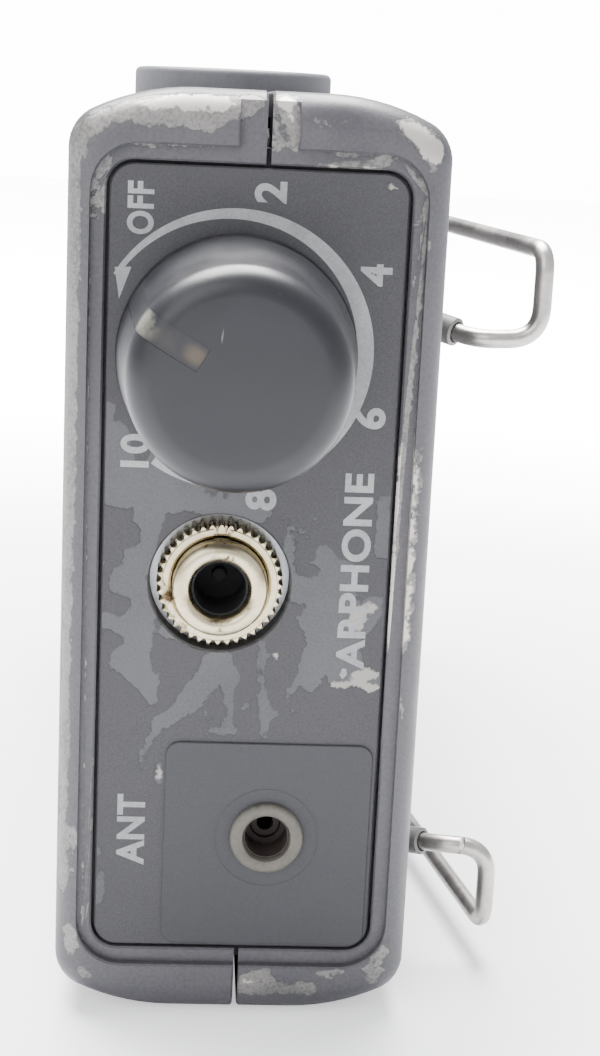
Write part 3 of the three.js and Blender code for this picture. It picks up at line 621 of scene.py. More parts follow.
def stroke_field(points, strokes):
    """Greatest distance inside any stroke, in millimetres: each is (x, y, z, x, y, z, radius)."""
    best = np.full(len(points), -4.0)
    for x0, y0, z0, x1, y1, z1, radius in strokes:
        start, end = np.array((x0, y0, z0)), np.array((x1, y1, z1))
        along = end - start
        length = max(float(along @ along), 1e-9)
        share = np.clip(((points - start) @ along) / length, 0, 1)
        gap = np.linalg.norm(points - (start + share[:, None] * along), axis=1)
        best = np.maximum(best, radius - gap)
    return best


def mark(mesh, label, strokes, sound=()):
    """Stores a wear field on the mesh's points; sound holds strokes where the paint has stayed."""
    points = np.empty(len(mesh.vertices) * 3)
    mesh.vertices.foreach_get("co", points)
    points = points.reshape(-1, 3) / MM
    field = stroke_field(points, strokes)
    if sound:
        field = np.minimum(field, -stroke_field(points, sound))
    attribute = mesh.attributes.new(label, "FLOAT", "POINT")
    attribute.data.foreach_set("value", field.astype(np.float32))


# ---------------------------------------------------------------- finishes
CASE_ENAMEL = worn_material(
    "case_enamel", (colour(61, 60, 64), colour(74, 72, 76)), (colour(96, 94, 93), colour(136, 133, 130)),
    colour(186, 180, 172), 0.42, 0.42, 1.3, 0.75, 0.22,
)
PANEL_FINISH = worn_material(
    "panel_finish", (colour(43, 42, 45), colour(58, 57, 60)), (colour(62, 62, 65), colour(80, 80, 82)),
    colour(140, 137, 130), 0.6, 0.3, 1.0, 0.3, 0.13,
)
PAD_FINISH = plain_material(
    "pad_finish", colour(41, 41, 44), colour(54, 54, 57), 0.64, grain=0.13, cloud=5.0, strength=0.4,
)
SCALE_PRINT = plain_material(
    "scale_print", colour(122, 122, 123), colour(150, 150, 150), 0.6, grain=0.2, cloud=3.0,
    dirt=colour(84, 84, 86), dirt_share=0.3,
)
KNOB_PLASTIC = plain_material(
    "knob_plastic", colour(9, 9, 15), colour(13, 13, 21), 0.4, grain=0.2, cloud=8.0, strength=0.12,
    scratch=0.35,
)


def pointer_material():
    """Rubbed paint in the knob's groove: a brown streak that fades to the knob's own colour at its sides
    and down the skirt, with a cream remnant at its inner end and a pale spot over the rim: paint remnant
    lightened as a painted highlight where the rim catches the light."""
    material, tree, bsdf, place = start_material("pointer_paint")
    tooth = use_group(tree, GRAIN, {"Vector": place, "Grain Size": 0.25, "Cloud Size": 1.6})
    ahead = (math.cos(POINTER_ANGLE), 0.0, math.sin(POINTER_ANGLE))
    aside = (-ahead[2], 0.0, ahead[0])

    def spot(reach, height, near, far):
        at = [c * MM for c in on_panel(KNOB_AT)(reach * ahead[0], height, reach * ahead[2])]
        gap = tree.put("ShaderNodeVectorMath", {0: place, 1: at}, operation="DISTANCE").outputs["Value"]
        return tree.span(gap, near * MM, far * MM, 1.0, 0.0)

    axis = [c * MM for c in on_panel(KNOB_AT)(0, 0, 0)]
    offset = tree.put("ShaderNodeVectorMath", {0: place, 1: axis}, operation="SUBTRACT").outputs[0]
    across = tree.put("ShaderNodeVectorMath", {0: offset, 1: aside}, operation="DOT_PRODUCT").outputs["Value"]
    middle = tree.span(tree.math("ABSOLUTE", across), 0.25 * MM, 0.72 * MM, 1.0, 0.0)
    ragged = tree.span(tooth["Cloud"], 0.36, 0.6)
    streak = tree.math("MULTIPLY", tree.math("MULTIPLY", middle, ragged), spot(3.6, 12.1, 2.2, 4.4))
    base = tree.blend(streak, colour(13, 13, 19), colour(34, 30, 30))
    base = tree.blend(tree.math("MULTIPLY", middle, spot(2.9, 12.1, 0.2, 1.0)), base, colour(62, 53, 42))
    # Pale spot over the rim: paint remnant, lightened as a painted highlight on the rim's lit edge.
    base = tree.blend(tree.math("MULTIPLY", ragged, spot(6.2, 11.2, 0.3, 1.5)), base, colour(98, 97, 86))
    gloss = tree.span(streak, 0.0, 1.0, 0.4, 0.6)
    shade(bsdf, tree, base, gloss, 0.0, tooth["Height"], 0.25, 0.03)
    return material


POINTER_PAINT = pointer_material()
CAP_PLASTIC = plain_material(
    "cap_plastic", colour(84, 84, 88), colour(97, 97, 101), 0.5, grain=0.25, cloud=7.0,
)
NICKEL = plain_material(
    "old_nickel", colour(176, 163, 132), colour(208, 197, 168), 0.3, metal=1.0, grain=0.5, cloud=2.5,
    strength=0.2, dirt=colour(92, 74, 48), dirt_share=0.46, scratch=0.5,
)
RING_METAL = plain_material(
    "ring_metal", colour(78, 75, 69), colour(96, 92, 84), 0.55, metal=0.2, grain=0.3, cloud=2.0,
    dirt=colour(60, 53, 47), dirt_share=0.4,
)
SPRING_STEEL = plain_material(
    "spring_steel", colour(164, 160, 156), colour(192, 188, 182), 0.34, metal=1.0, grain=0.4, cloud=4.0,
    strength=0.15, dirt=colour(128, 120, 110), dirt_share=0.26, scratch=0.4,
)
SLEEVE_PLASTIC = plain_material(
    "sleeve_plastic", colour(100, 99, 98), colour(118, 117, 115), 0.45, grain=0.3, cloud=3.0,
)
ZINC_STEEL = plain_material(
    "zinc_steel", colour(138, 140, 142), colour(166, 167, 168), 0.36, metal=1.0, grain=0.35, cloud=3.0,
    dirt=colour(92, 88, 80), dirt_share=0.35, scratch=0.4,
)
BRASS = plain_material("brass", colour(168, 140, 82), colour(196, 168, 106), 0.34, metal=1.0, cloud=2.5)
ALUMINIUM = plain_material(
    "aluminium", colour(160, 162, 165), colour(188, 190, 193), 0.4, metal=1.0, scratch=0.5,
)
BLACK_PLASTIC = plain_material("black_plastic", colour(28, 29, 32), colour(40, 41, 45), 0.5)
BOARD = plain_material("board_laminate", colour(36, 82, 50), colour(52, 102, 62), 0.45, grain=0.4, cloud=4.0)
PHENOLIC = plain_material("phenolic", colour(92, 62, 34), colour(116, 82, 48), 0.6, grain=0.3)
BATTERY_COAT = plain_material(
    "battery_coat", colour(36, 40, 50), colour(50, 54, 64), 0.35, grain=0.3, cloud=9.0, scratch=0.4,
)
FOAM = plain_material(
    "foam", colour(44, 44, 47), colour(64, 64, 67), 0.95, grain=0.5, cloud=1.5, strength=0.8, depth=0.2,
)
CAPACITOR_SLEEVE = plain_material("capacitor_sleeve", colour(28, 44, 84), colour(40, 58, 104), 0.4)
# Near-black: painted shade for the inside of the jack's bore, darker than the jack's black plastic.
BORE_PAINTED_SHADE = plain_material("socket_painted_shade", colour(9, 9, 10), colour(15, 15, 17), 0.8)
TARNISH = plain_material("tarnished_brass", colour(44, 36, 34), colour(58, 48, 44), 0.7, metal=0.1, cloud=1.0)


# ---------------------------------------------------------------- case
# Worn places on the case, as strokes: x, y, z to x, y, z and a radius. A radius below zero leaves specks.
def front_stroke(x0, z0, x1, z1, radius, back=0.0):
    """A stroke on the case's front face, or so far back round its rounded rim."""
    return (x0, FRONT_Y + back, z0, x1, FRONT_Y + back, z1, radius)


def ledge_stroke(x0, z0, x1, z1, radius):
    return (x0, LEDGE_Y, z0, x1, LEDGE_Y, z1, radius)


CASE_WEAR = [
    front_stroke(-9.6, 58.9, -2.3, 59.1, 1.0), front_stroke(-7.6, 58.1, -3.2, 57.9, 0.45),
    front_stroke(-9.8, 58.4, -10.9, 56.6, 0.7), ledge_stroke(-1.3, 59.5, -0.4, 59.4, 0.4),
    ledge_stroke(-1.3, 57.9, -1.25, 57.2, 0.3), ledge_stroke(1.3, 59.6, 1.2, 57.1, 0.85),
    front_stroke(3.1, 58.3, 3.6, 58.1, 0.22), front_stroke(4.8, 58.3, 5.0, 58.2, 0.2),
    front_stroke(8.8, 58.6, 10.4, 57.0, 0.95), front_stroke(9.6, 59.0, 11.2, 56.4, 0.6),
    front_stroke(-11.4, 57.5, -11.4, 33.0, 0.74, back=0.7),
    front_stroke(-11.4, 33.0, -11.3, 9.0, 0.56, back=0.7),
    front_stroke(-11.5, 56.0, -11.5, 30.0, 0.55, back=2.5),
    front_stroke(-10.7, 13.0, -10.8, 10.3, 0.4), front_stroke(-10.8, 5.8, -10.5, 4.6, 0.6),
    front_stroke(-9.8, 3.2, -9.5, 2.8, 0.3), front_stroke(-8.0, 3.0, -7.8, 2.8, 0.22),
    front_stroke(0.6, 2.6, 2.3, 3.0, 0.5), front_stroke(0.8, 2.0, 5.4, 2.1, 0.42),
    front_stroke(6.1, 3.2, 7.1, 3.2, 0.38), front_stroke(4.4, 2.4, 5.4, 2.4, 0.25),
    front_stroke(9.0, 3.4, 10.2, 4.8, 0.42), front_stroke(9.3, 2.5, 9.9, 3.4, 0.4),
    front_stroke(-3.6, 4.8, -3.55, 4.7, 0.14), front_stroke(-2.9, 4.75, -2.85, 4.7, 0.12),
    front_stroke(-2.05, 4.8, -2.0, 4.65, 0.14), front_stroke(10.8, 20.7, 10.9, 20.2, 0.3),
    front_stroke(10.7, 17.4, 10.8, 17.1, 0.24), front_stroke(10.3, 9.6, 10.3, 8.7, 0.18),
    front_stroke(10.5, 32.4, 10.6, 38.6, 0.3), front_stroke(10.4, 22.4, 10.6, 21.4, 0.2),
    # ledge round the panel and the frame's inner edge
    ledge_stroke(-8.9, 56.45, -2.0, 56.5, 0.14), ledge_stroke(-5.4, 56.2, -4.1, 56.1, 0.22),
    ledge_stroke(2.9, 56.15, 6.8, 55.95, 0.5), ledge_stroke(2.3, 56.5, 9.2, 56.3, 0.12),
    ledge_stroke(6.0, 55.6, 7.2, 55.5, 0.2), ledge_stroke(-9.6, 54.3, -9.7, 52.4, 0.55),
    ledge_stroke(-9.9, 56.2, -9.6, 55.4, 0.25), ledge_stroke(10.0, 54.9, 10.1, 53.9, 0.24),
    ledge_stroke(9.9, 52.4, 9.95, 51.3, 0.45), ledge_stroke(9.8, 50.2, 9.8, 49.2, 0.18),
    ledge_stroke(9.75, 48.6, 9.7, 47.4, 0.22), ledge_stroke(9.7, 47.0, 9.65, 46.5, 0.2),
    ledge_stroke(9.9, 38.4, 9.8, 32.0, 0.75), ledge_stroke(9.8, 32.0, 9.9, 26.2, 0.9),
    ledge_stroke(9.95, 25.8, 10.0, 25.4, 0.38), ledge_stroke(9.6, 18.8, 9.6, 18.2, 0.16),
    ledge_stroke(9.6, 15.5, 9.6, 14.9, 0.18), ledge_stroke(9.5, 12.0, 9.5, 11.2, 0.1),
    ledge_stroke(-9.6, 18.0, -9.4, 17.4, 0.24), ledge_stroke(-9.4, 13.3, -9.4, 12.9, 0.2),
    ledge_stroke(-9.7, 8.4, -9.6, 7.9, 0.14), ledge_stroke(-9.9, 5.8, -9.8, 5.2, 0.16),
    ledge_stroke(9.9, 43.5, 9.9, 42.4, 0.08), ledge_stroke(8.6, 5.2, 8.7, 5.1, 0.14),
]
# Handling wear along the far edges, where the pack is held and laid down.
FAR_RIM_Y = BACK_Y - 0.4
for side in (-1, 1):
    CASE_WEAR += [
        (side * 11.5, FAR_RIM_Y, 8, side * 11.5, FAR_RIM_Y, 52, 0.75),
        (side * 9.5, FAR_RIM_Y, 59.2, side * 2.5, FAR_RIM_Y, 59.8, 0.8),
        (side * 9.5, FAR_RIM_Y, 0.8, side * 2.5, FAR_RIM_Y, 0.2, 0.7),
        (side * 11.2, -44, 58.2, side * 11.2, -8, 58.2, 0.62),
        (side * 11.2, 6, 58.2, side * 11.2, 45, 58.2, 0.55),
        (side * 11.2, -44, 1.8, side * 11.2, 44, 1.8, 0.58),
        (side * 11.65, 12, 22, side * 11.65, 30, 26, -0.25),
        (side * 11.65, -20, 44, side * 11.65, 4, 40, -0.3),
    ]
# Rubs from the clip's wire, and specks across the upper narrow side.
CASE_WEAR += [
    (11.65, -30.0, 47.5, 11.65, -34.0, 47.5, 0.2), (11.65, -2.0, 51.5, 11.65, 5.0, 51.3, 0.5),
    (11.65, -2.0, 2.6, 11.65, 5.0, 2.6, 0.5), (-3.0, 20.0, 60.0, 4.0, 34.0, 60.0, -0.1),
    (-6.0, -30.0, 60.0, 5.0, -22.0, 60.0, -0.05),
]
CASE_POLISH = [
    front_stroke(-8.6, 59.3, -2.3, 59.5, 0.75), ledge_stroke(1.3, 59.4, 1.2, 57.3, 0.5),
    front_stroke(9.0, 58.4, 10.4, 57.0, 0.8), ledge_stroke(3.1, 56.1, 6.6, 56.0, 0.25),
    ledge_stroke(9.9, 37.8, 9.9, 26.2, 0.7), ledge_stroke(9.95, 25.7, 10.0, 25.5, 0.25),
    front_stroke(0.8, 2.4, 2.3, 2.8, 0.2), front_stroke(-9.6, 54.1, -9.7, 52.6, 0.2),
]


def outer_case():
    """The whole case as one solid block with rounded ends, closely divided on its front to carry wear."""
    rows = [(inset, FRONT_Y) for inset in (6.0, 5.2, 4.6, 4.0, 3.5, 3.0, 2.5)]
    for share in np.linspace(0, 1, 9):
        turn = share * math.pi / 2
        rows.append((END_ROUNDING * (1 - math.sin(turn)), FRONT_Y + END_ROUNDING * (1 - math.cos(turn))))
    rows += [(0, y) for y in np.linspace(FRONT_Y + 3, BACK_Y - 3, 40)]
    for share in np.linspace(1, 0, 8):
        turn = share * math.pi / 2
        rows.append((END_ROUNDING * (1 - math.sin(turn)), BACK_Y - END_ROUNDING * (1 - math.cos(turn))))
    return slab([(case_outline(inset), y) for inset, y in rows])


def seam_groove():
    """V-shaped relief all round the case over the joint between its halves."""
    depth = SEAM_GAP / 2 + SEAM_CHAMFER
    proud = 0.5
    rows = [(SEAM_X - depth - proud, -proud), (SEAM_X + depth + proud, -proud), (SEAM_X, depth)]
    rings = []
    for x, inset in rows:
        half = (BACK_Y - inset, MID_Z - inset)
        radius = END_ROUNDING - inset
        outline = rounded(half, radius, steps=10, centre=(0.0, MID_Z))
        rings.append([(x, y, z) for y, z in outline])
    return closed_loft("groove", rings)


def case_cutters():
    """What both halves lose: cavity, panel frame, window, groove, notch, module seat, door and pin."""
    chamfer = 0.12
    window = [(FRONT_Y - 1, chamfer), (LEDGE_Y, chamfer), (LEDGE_Y + chamfer, 0), (CAVITY_Y + 1, 0)]
    frame_rows = [(FRONT_Y - 1, 1 + chamfer), (FRONT_Y + chamfer, 0), (LEDGE_Y, 0)]
    x0, x1 = SEAM_X - NOTCH_HALF, SEAM_X + NOTCH_HALF
    notch = [(x0 - 1, FRONT_Y - 0.9), (x1 + 1, FRONT_Y - 0.9), (x1, FRONT_Y + 0.1), (x1, LEDGE_Y),
             (x0, LEDGE_Y), (x0, FRONT_Y + 0.1)]
    door_half, door_low, door_top = DOOR_HALF + DOOR_GAP, DOOR_FOOT - DOOR_GAP, DOOR_PIN[1] + 1.7
    door = [(-door_half, door_low), (door_half, door_low), (door_half, door_top), (-door_half, door_top)]
    seat_radius, seat_z = MODULE_SEAT
    bore_radius, bore_foot = MODULE_BORE
    frame_cut = [(divided(rounded(FRAME_HALF, FRAME_CORNER, grow)), y) for y, grow in frame_rows]
    window_cut = [(divided(rounded(WINDOW_HALF, WINDOW_CORNER, grow)), y) for y, grow in window]
    return [
        slab([(case_outline(WALL), CAVITY_Y), (case_outline(WALL), INNER_BACK_Y)]),
        slab(frame_cut),
        slab(window_cut),
        slab([(rounded(FLANGE_HALF, 2.0), y) for y in (LEDGE_Y + 1.0, RIB_Y)]),
        prism(notch, PANEL_Z, CASE_WIDTH + 1, as_given),
        flared(seat_radius, seat_z, CASE_WIDTH, CASE_WIDTH + 1, 0.15, along_z(MODULE_AT)),
        rod(bore_radius, bore_foot, CASE_WIDTH, along_z(MODULE_AT), 72),
        prism(door, INNER_BACK_Y - 1, BACK_Y + 1, out_of_the_end),
        rod(PIN_HOLE, -INNER_X - 0.7, INNER_X + 0.7, along_x(DOOR_PIN), 24),
        seam_groove(),
    ]


def node_centre(name):
    low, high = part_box(name)
    return tuple((a + b) / 2 / MM for a, b in zip(low, high))


BOARD_SCREWS = [node_centre(f"board_screw_{number}")[1:] for number in (1, 2)]


def add_shell(name, x0, x1, posts, holes, node):
    """The half of the case between two planes across X, with its inner posts joined and its holes cut."""
    keep = block(x0, x1, FRONT_Y - 2, BACK_Y + 2, -2, CASE_WIDTH + 2)
    shell = cut(outer_case(), keep, operation="INTERSECT")
    shell = cut(shell, *case_cutters())
    shell = cut(shell, *posts, operation="UNION")
    shell = cut(shell, *holes)
    mark(shell, "wear", CASE_WEAR)
    mark(shell, "polish", CASE_POLISH)
    finish_piece(name, shell, CASE_ENAMEL, "case", "case_paint", node, angle=28)


def add_case():
    left, right = SEAM_X - SEAM_GAP / 2, SEAM_X + SEAM_GAP / 2
    far = HALF_THICKNESS + 2
    root = INNER_X + 0.5
    bosses = [rod(BOSS, -root, left, along_x(at), 32) for at in SCREWS]
    threads = [rod(THREAD_HOLE, -6.5, 9, along_x(at), 24) for at in SCREWS]
    add_shell("case_front_half", -far, left, bosses, threads, "front_shell")

    bosses = [rod(BOSS, right, root, along_x(at), 32) for at in SCREWS]
    bosses += [rod(2.1, 8.9, root, along_x(at), 32) for at in BOARD_SCREWS]
    holes = [rod(1.25, right - 1, HALF_THICKNESS + 1, along_x(at), 24) for at in SCREWS]
    holes += [flared(2.15, SCREW_SEAT_X, HALF_THICKNESS, HALF_THICKNESS + 1, 0.12, along_x(at), 40)
              for at in SCREWS]
    holes += [rod(THREAD_HOLE, 0, HALF_THICKNESS - 0.6, along_x(at), 24) for at in BOARD_SCREWS]
    half_y, half_z = CLIP_HOLE_HALF
    y, spread = CLIP_HOLES
    for z in (CLIP_AT[2] - spread, CLIP_AT[2] + spread):
        through = (INNER_X - 0.5, HALF_THICKNESS + 0.5)
        holes.append(block(*through, y - half_y, y + half_y, z - half_z, z + half_z))
    add_shell("case_back_half", right, far, bosses, holes, "back_shell")


# ---------------------------------------------------------------- control panel
def panel_stroke(x0, z0, x1, z1, radius):
    return (x0, PANEL_Y, z0, x1, PANEL_Y, z1, radius)


PANEL_WEAR = [
    panel_stroke(-8.5, 38.8, -7.8, 35.6, 1.05), panel_stroke(-8.9, 40.6, -8.7, 38.0, 0.45),
    panel_stroke(-8.2, 35.7, -4.6, 35.4, 1.4), panel_stroke(-5.4, 37.0, -1.0, 35.1, 1.1),
    panel_stroke(-4.5, 35.2, 0.5, 34.4, 0.9), panel_stroke(-6.1, 34.5, -6.7, 30.8, 1.0),
    panel_stroke(-7.6, 29.6, -6.2, 28.0, 1.1), panel_stroke(-8.6, 26.9, -6.8, 26.2, 0.6),
    panel_stroke(-6.6, 28.0, -6.7, 24.2, 0.95), panel_stroke(-7.7, 24.3, -6.0, 23.0, 0.8),
    panel_stroke(-6.2, 23.0, -5.7, 21.9, 0.45), panel_stroke(-5.0, 26.4, -1.0, 24.8, 0.35),
    panel_stroke(-1.4, 24.4, -3.2, 21.9, 0.85), panel_stroke(-2.0, 24.4, -0.8, 23.4, 0.75),
    panel_stroke(-3.0, 21.7, -5.1, 20.2, 0.55), panel_stroke(-5.2, 20.0, -6.2, 18.0, 0.28),
    panel_stroke(-0.7, 23.2, -0.75, 20.2, 0.32), panel_stroke(-1.6, 19.8, -0.2, 19.9, 0.32),
    panel_stroke(1.2, 25.9, 1.25, 22.6, 0.26), panel_stroke(1.3, 22.4, 1.7, 21.0, 0.42),
    panel_stroke(1.9, 21.2, 2.3, 21.0, 0.3), panel_stroke(1.7, 20.6, 1.6, 19.7, 0.3),
    panel_stroke(2.4, 33.9, 4.3, 32.3, 0.14), panel_stroke(4.2, 34.0, 4.4, 33.9, 0.16),
    panel_stroke(2.7, 33.0, 2.7, 29.0, 0.35), panel_stroke(4.6, 31.6, 5.6, 30.8, 0.7),
    panel_stroke(3.4, 29.4, 5.4, 29.2, 0.85), panel_stroke(4.3, 28.0, 5.2, 26.0, 1.05),
    panel_stroke(4.6, 25.2, 4.4, 23.4, 0.8), panel_stroke(3.8, 23.4, 3.1, 22.4, 0.3),
    panel_stroke(5.8, 30.2, 6.4, 24.2, 1.3), panel_stroke(6.4, 24.0, 8.4, 23.4, 0.75),
    panel_stroke(7.4, 27.8, 8.3, 28.6, 0.6), panel_stroke(8.5, 35.2, 8.5, 32.0, 0.45),
    panel_stroke(8.3, 27.8, 7.6, 26.8, 0.5), panel_stroke(-5.2, 17.2, -5.1, 16.3, 0.32),
    panel_stroke(-6.4, 17.3, -6.3, 17.0, 0.2), panel_stroke(-8.7, 9.6, -8.8, 7.8, 0.35),
    panel_stroke(-8.8, 11.4, -8.8, 11.0, 0.18), panel_stroke(2.1, 24.95, 2.3, 24.9, 0.28),
    panel_stroke(7.8, 54.8, 8.1, 54.5, 0.3), panel_stroke(3.4, 21.2, 3.5, 21.1, 0.14),
    panel_stroke(-9.0, 32.6, -9.05, 22.0, 0.0), panel_stroke(9.0, 50.0, 9.0, 12.0, 0.0),
    panel_stroke(0.6, 21.9, 0.3, 21.3, 0.12), panel_stroke(-2.2, 20.8, -2.0, 20.6, 0.15),
    panel_stroke(2.6, 38.0, 5.0, 35.5, -0.35), panel_stroke(-3.5, 30, 3.2, 30.5, -0.1),
]
PANEL_SOUND = [
    panel_stroke(-8.3, 32.6, -7.6, 32.6, 0.95), panel_stroke(-8.4, 31.2, -8.6, 31.2, 0.6),
    panel_stroke(-8.2, 28.2, -7.8, 28.1, 0.55), panel_stroke(-5.5, 26.0, -5.2, 25.4, 0.42),
    panel_stroke(3.6, 32.3, 3.9, 31.6, 0.55), panel_stroke(3.4, 31.2, 3.5, 30.8, 0.35),
    panel_stroke(3.3, 28.1, 3.6, 28.1, 0.28), panel_stroke(-2.6, 35.6, -2.4, 35.5, 0.28),
    panel_stroke(-1.5, 35.5, -1.3, 35.3, 0.25),
]
PANEL_POLISH = [
    panel_stroke(7.3, 27.9, 7.2, 27.2, 0.5), panel_stroke(8.0, 28.4, 8.3, 28.2, 0.3),
    panel_stroke(6.0, 22.9, 8.5, 22.9, 0.35), panel_stroke(7.4, 23.6, 8.5, 24.0, 0.45),
    panel_stroke(2.1, 24.95, 2.3, 24.9, 0.25), panel_stroke(-5.2, 17.2, -5.1, 16.4, 0.2),
    panel_stroke(7.8, 54.8, 8.1, 54.5, 0.22), panel_stroke(1.5, 25.6, 2.4, 26.4, 0.08),
]


def panel_blank():
    """A closely divided plate, a little oversize: the worn places need a point every 0.4 mm."""
    half_x, half_z = (half + 0.4 for half in PANEL_HALF)
    columns = np.linspace(-half_x, half_x, 48)
    rows = np.linspace(PANEL_Z - half_z, PANEL_Z + half_z, 128)
    count = len(columns)
    points = [(x, PANEL_Y, z) for z in rows for x in columns]
    faces = [(r * count + c, r * count + c + 1, (r + 1) * count + c + 1, (r + 1) * count + c)
             for r in range(len(rows) - 1) for c in range(count - 1)]
    edge = list(range(count)) + [r * count + count - 1 for r in range(1, len(rows))]
    edge += [(len(rows) - 1) * count + c for c in range(count - 2, -1, -1)]
    edge += [r * count for r in range(len(rows) - 2, 0, -1)]
    base = len(points)
    points += [(points[i][0], FLANGE_Y + 0.3, points[i][2]) for i in edge]
    turns = len(edge)
    faces += [(edge[i], base + i, base + (i + 1) % turns, edge[(i + 1) % turns]) for i in range(turns)]
    faces.append(tuple(range(base, base + turns)))
    return mesh_from("blank", points, faces)


def add_panel():
    chamfer = 0.1
    edge = [(-chamfer, PANEL_Y - 1), (-chamfer, PANEL_Y), (0.0, PANEL_Y + chamfer), (0.0, FLANGE_Y + 0.3)]
    outline = slab([(rounded(PANEL_HALF, PANEL_CORNER, grow), y) for grow, y in edge])
    flange = slab([(rounded(FLANGE_HALF, 2.0, -0.15), y) for y in (FLANGE_Y, FLANGE_Y + 0.7)])
    plate = cut(panel_blank(), outline, operation="INTERSECT")
    plate = cut(plate, flange, operation="UNION")
    deep = -4.0
    plate = cut(
        plate,
        rod(3.8, deep, 1, on_panel(KNOB_AT), 64),
        flared(4.45, deep, 0, 1, 0.12, on_panel(JACK_AT)),
        rod(ANTENNA_HOLE, deep, 1, on_panel(ANTENNA_AT), 48),
    )
    mark(plate, "wear", PANEL_WEAR, PANEL_SOUND)
    mark(plate, "polish", PANEL_POLISH)
    finish_piece("control_panel_plate", plate, PANEL_FINISH, "case", "panel_print", "control_panel")


def add_pad():
    """The raised rectangle round the antenna socket, with a fine ring scored in it."""
    half = (6.7, 7.0)
    rows = [(-0.06, PANEL_Y - 0.175), (0, PANEL_Y - 0.12), (0, PANEL_Y - 0.025)]
    pad = slab([(rounded(half, 0.9, grow, centre=PAD_AT), y) for grow, y in rows])
    pad = cut(pad, rod(ANTENNA_HOLE, -1, 1, on_panel(ANTENNA_AT), 48))
    low, high = 0.155, 0.455
    ring = [(3.3, low), (3.42, low), (3.42, high), (3.3, high)]
    pad = cut(pad, turned("groove", ring, on_panel(ANTENNA_AT), 96))
    finish_piece("antenna_label", pad, PAD_FINISH, "case", "pad_print", "antenna_pad")


# ---------------------------------------------------------------- printed scale and labels
PRINT_Y = PANEL_Y - 0.008
LABEL_Y = PANEL_Y - 0.016
PRINT_ROOT_Y = PANEL_Y + 0.02


def add_print(name, mesh):
    finish_piece(name, mesh, SCALE_PRINT, "case", "panel_print", smooth=False)


def film(outlines):
    """Thin printed film from closed outlines of (x, z) points."""
    return join(*[slab([(outline, LABEL_Y), (outline, PRINT_ROOT_Y)]) for outline in outlines])


def scale_band():
    """The volume band: it starts thin at the arrowhead and widens clockwise to the loudest mark."""
    start, end, outer = 149, -124, 8.66
    angles = np.radians(np.linspace(start, end, 120))
    widths = np.interp(np.linspace(0, 1, 120), [0, 0.2, 0.55, 1.0], [0.3, 0.62, 1.08, 1.45])
    rim = [(SCALE_AT[0] + outer * math.cos(a), SCALE_AT[1] + outer * math.sin(a)) for a in angles]
    inner = [(SCALE_AT[0] + (outer - w) * math.cos(a), SCALE_AT[1] + (outer - w) * math.sin(a))
             for a, w in zip(angles, widths)]
    points, faces = [], []
    for y in (PRINT_Y, PRINT_ROOT_Y):
        points += [(x, y, z) for x, z in rim] + [(x, y, z) for x, z in inner]
    n = len(rim)
    for i in range(n - 1):
        faces.append((i, i + 1, n + i + 1, n + i))
        faces.append((2 * n + i, 3 * n + i, 3 * n + i + 1, 2 * n + i + 1))
        faces.append((i, 2 * n + i, 2 * n + i + 1, i + 1))
        faces.append((n + i, n + i + 1, 3 * n + i + 1, 3 * n + i))
    faces.append((0, n, 3 * n, 2 * n))
    faces.append((n - 1, 3 * n - 1, 4 * n - 1, 2 * n - 1))
    return mesh_from("band", points, faces)


# Label, its centre (x, z), its cap height across and its length up the panel.
LABELS = [
    ("OFF", (-7.18, 52.8), 1.62, 3.15), ("2", (0.6, 54.05), 1.95, 1.3), ("4", (7.25, 49.35), 1.95, 1.35),
    ("6", (7.35, 40.5), 1.95, 1.35), ("8", (0.78, 35.1), 1.95, 1.35), ("10", (-7.15, 37.95), 1.8, 2.1),
    ("ARPHONE", (6.92, 30.58), 1.85, 12.84), ("ANT", (-6.8, 12.85), 1.8, 4.9),
]


def label_mesh(text, centre, cap, length):
    """Letters that read up the panel, fitted to their place."""
    data = bpy.data.curves.new("label", "FONT")
    data.body = text
    data.offset = 0.034
    data.space_character = 1.06
    data.extrude = 0.01
    data.resolution_u = 6
    holder = bpy.data.objects.new("label", data)
    bpy.context.scene.collection.objects.link(holder)
    mesh = bpy.data.meshes.new_from_object(holder.evaluated_get(bpy.context.evaluated_depsgraph_get()))
    bpy.data.objects.remove(holder)
    points = np.empty(len(mesh.vertices) * 3)
    mesh.vertices.foreach_get("co", points)
    points = points.reshape(-1, 3)
    low, high = points.min(0), points.max(0)
    share = (points - low) / (high - low)
    placed = np.empty_like(points)
    placed[:, 0] = centre[0] + (0.5 - share[:, 1]) * cap
    placed[:, 2] = centre[1] + (share[:, 0] - 0.5) * length
    placed[:, 1] = PRINT_ROOT_Y - share[:, 2] * (PRINT_ROOT_Y - LABEL_Y)
    mesh.vertices.foreach_set("co", (placed * MM).ravel())
    return weld(mesh, 1e-7)


ARROW = [(-8.65, 49.2), (-8.35, 47.3), (-7.65, 49.25)]
# Flecks left of the long label's first letter, which is rubbed off.
FLECKS = [
    [(6.44, 24.2), (6.3, 23.75), (6.5, 23.5), (6.78, 23.8), (6.72, 24.2)],
    [(7.0, 23.55), (7.06, 23.1), (7.3, 23.14), (7.36, 23.5)], [(6.12, 23.3), (6.2, 23.1), (6.36, 23.25)],
]


def add_prints():
    add_print("volume_band", scale_band())
    add_print("scale_arrow", film([ARROW]))
    add_print("label_flecks", film(FLECKS))
    for text, centre, cap, length in LABELS:
        add_print(f"label_{text}", label_mesh(text, centre, cap, length))


# ---------------------------------------------------------------- volume knob
KNOB_FOOT = 0.45
KNOB_BASE = 7.35
KNOB_FRONT = 6.45
KNOB_TALL = 11.7
KNOB_EDGE = 1.7
KNOB_SKIRT = 1.2
KNOB_DOME = 0.02
POINTER_START = 2.4
POINTER_REACH = 9.5
POINTER_WIDTH = 1.5


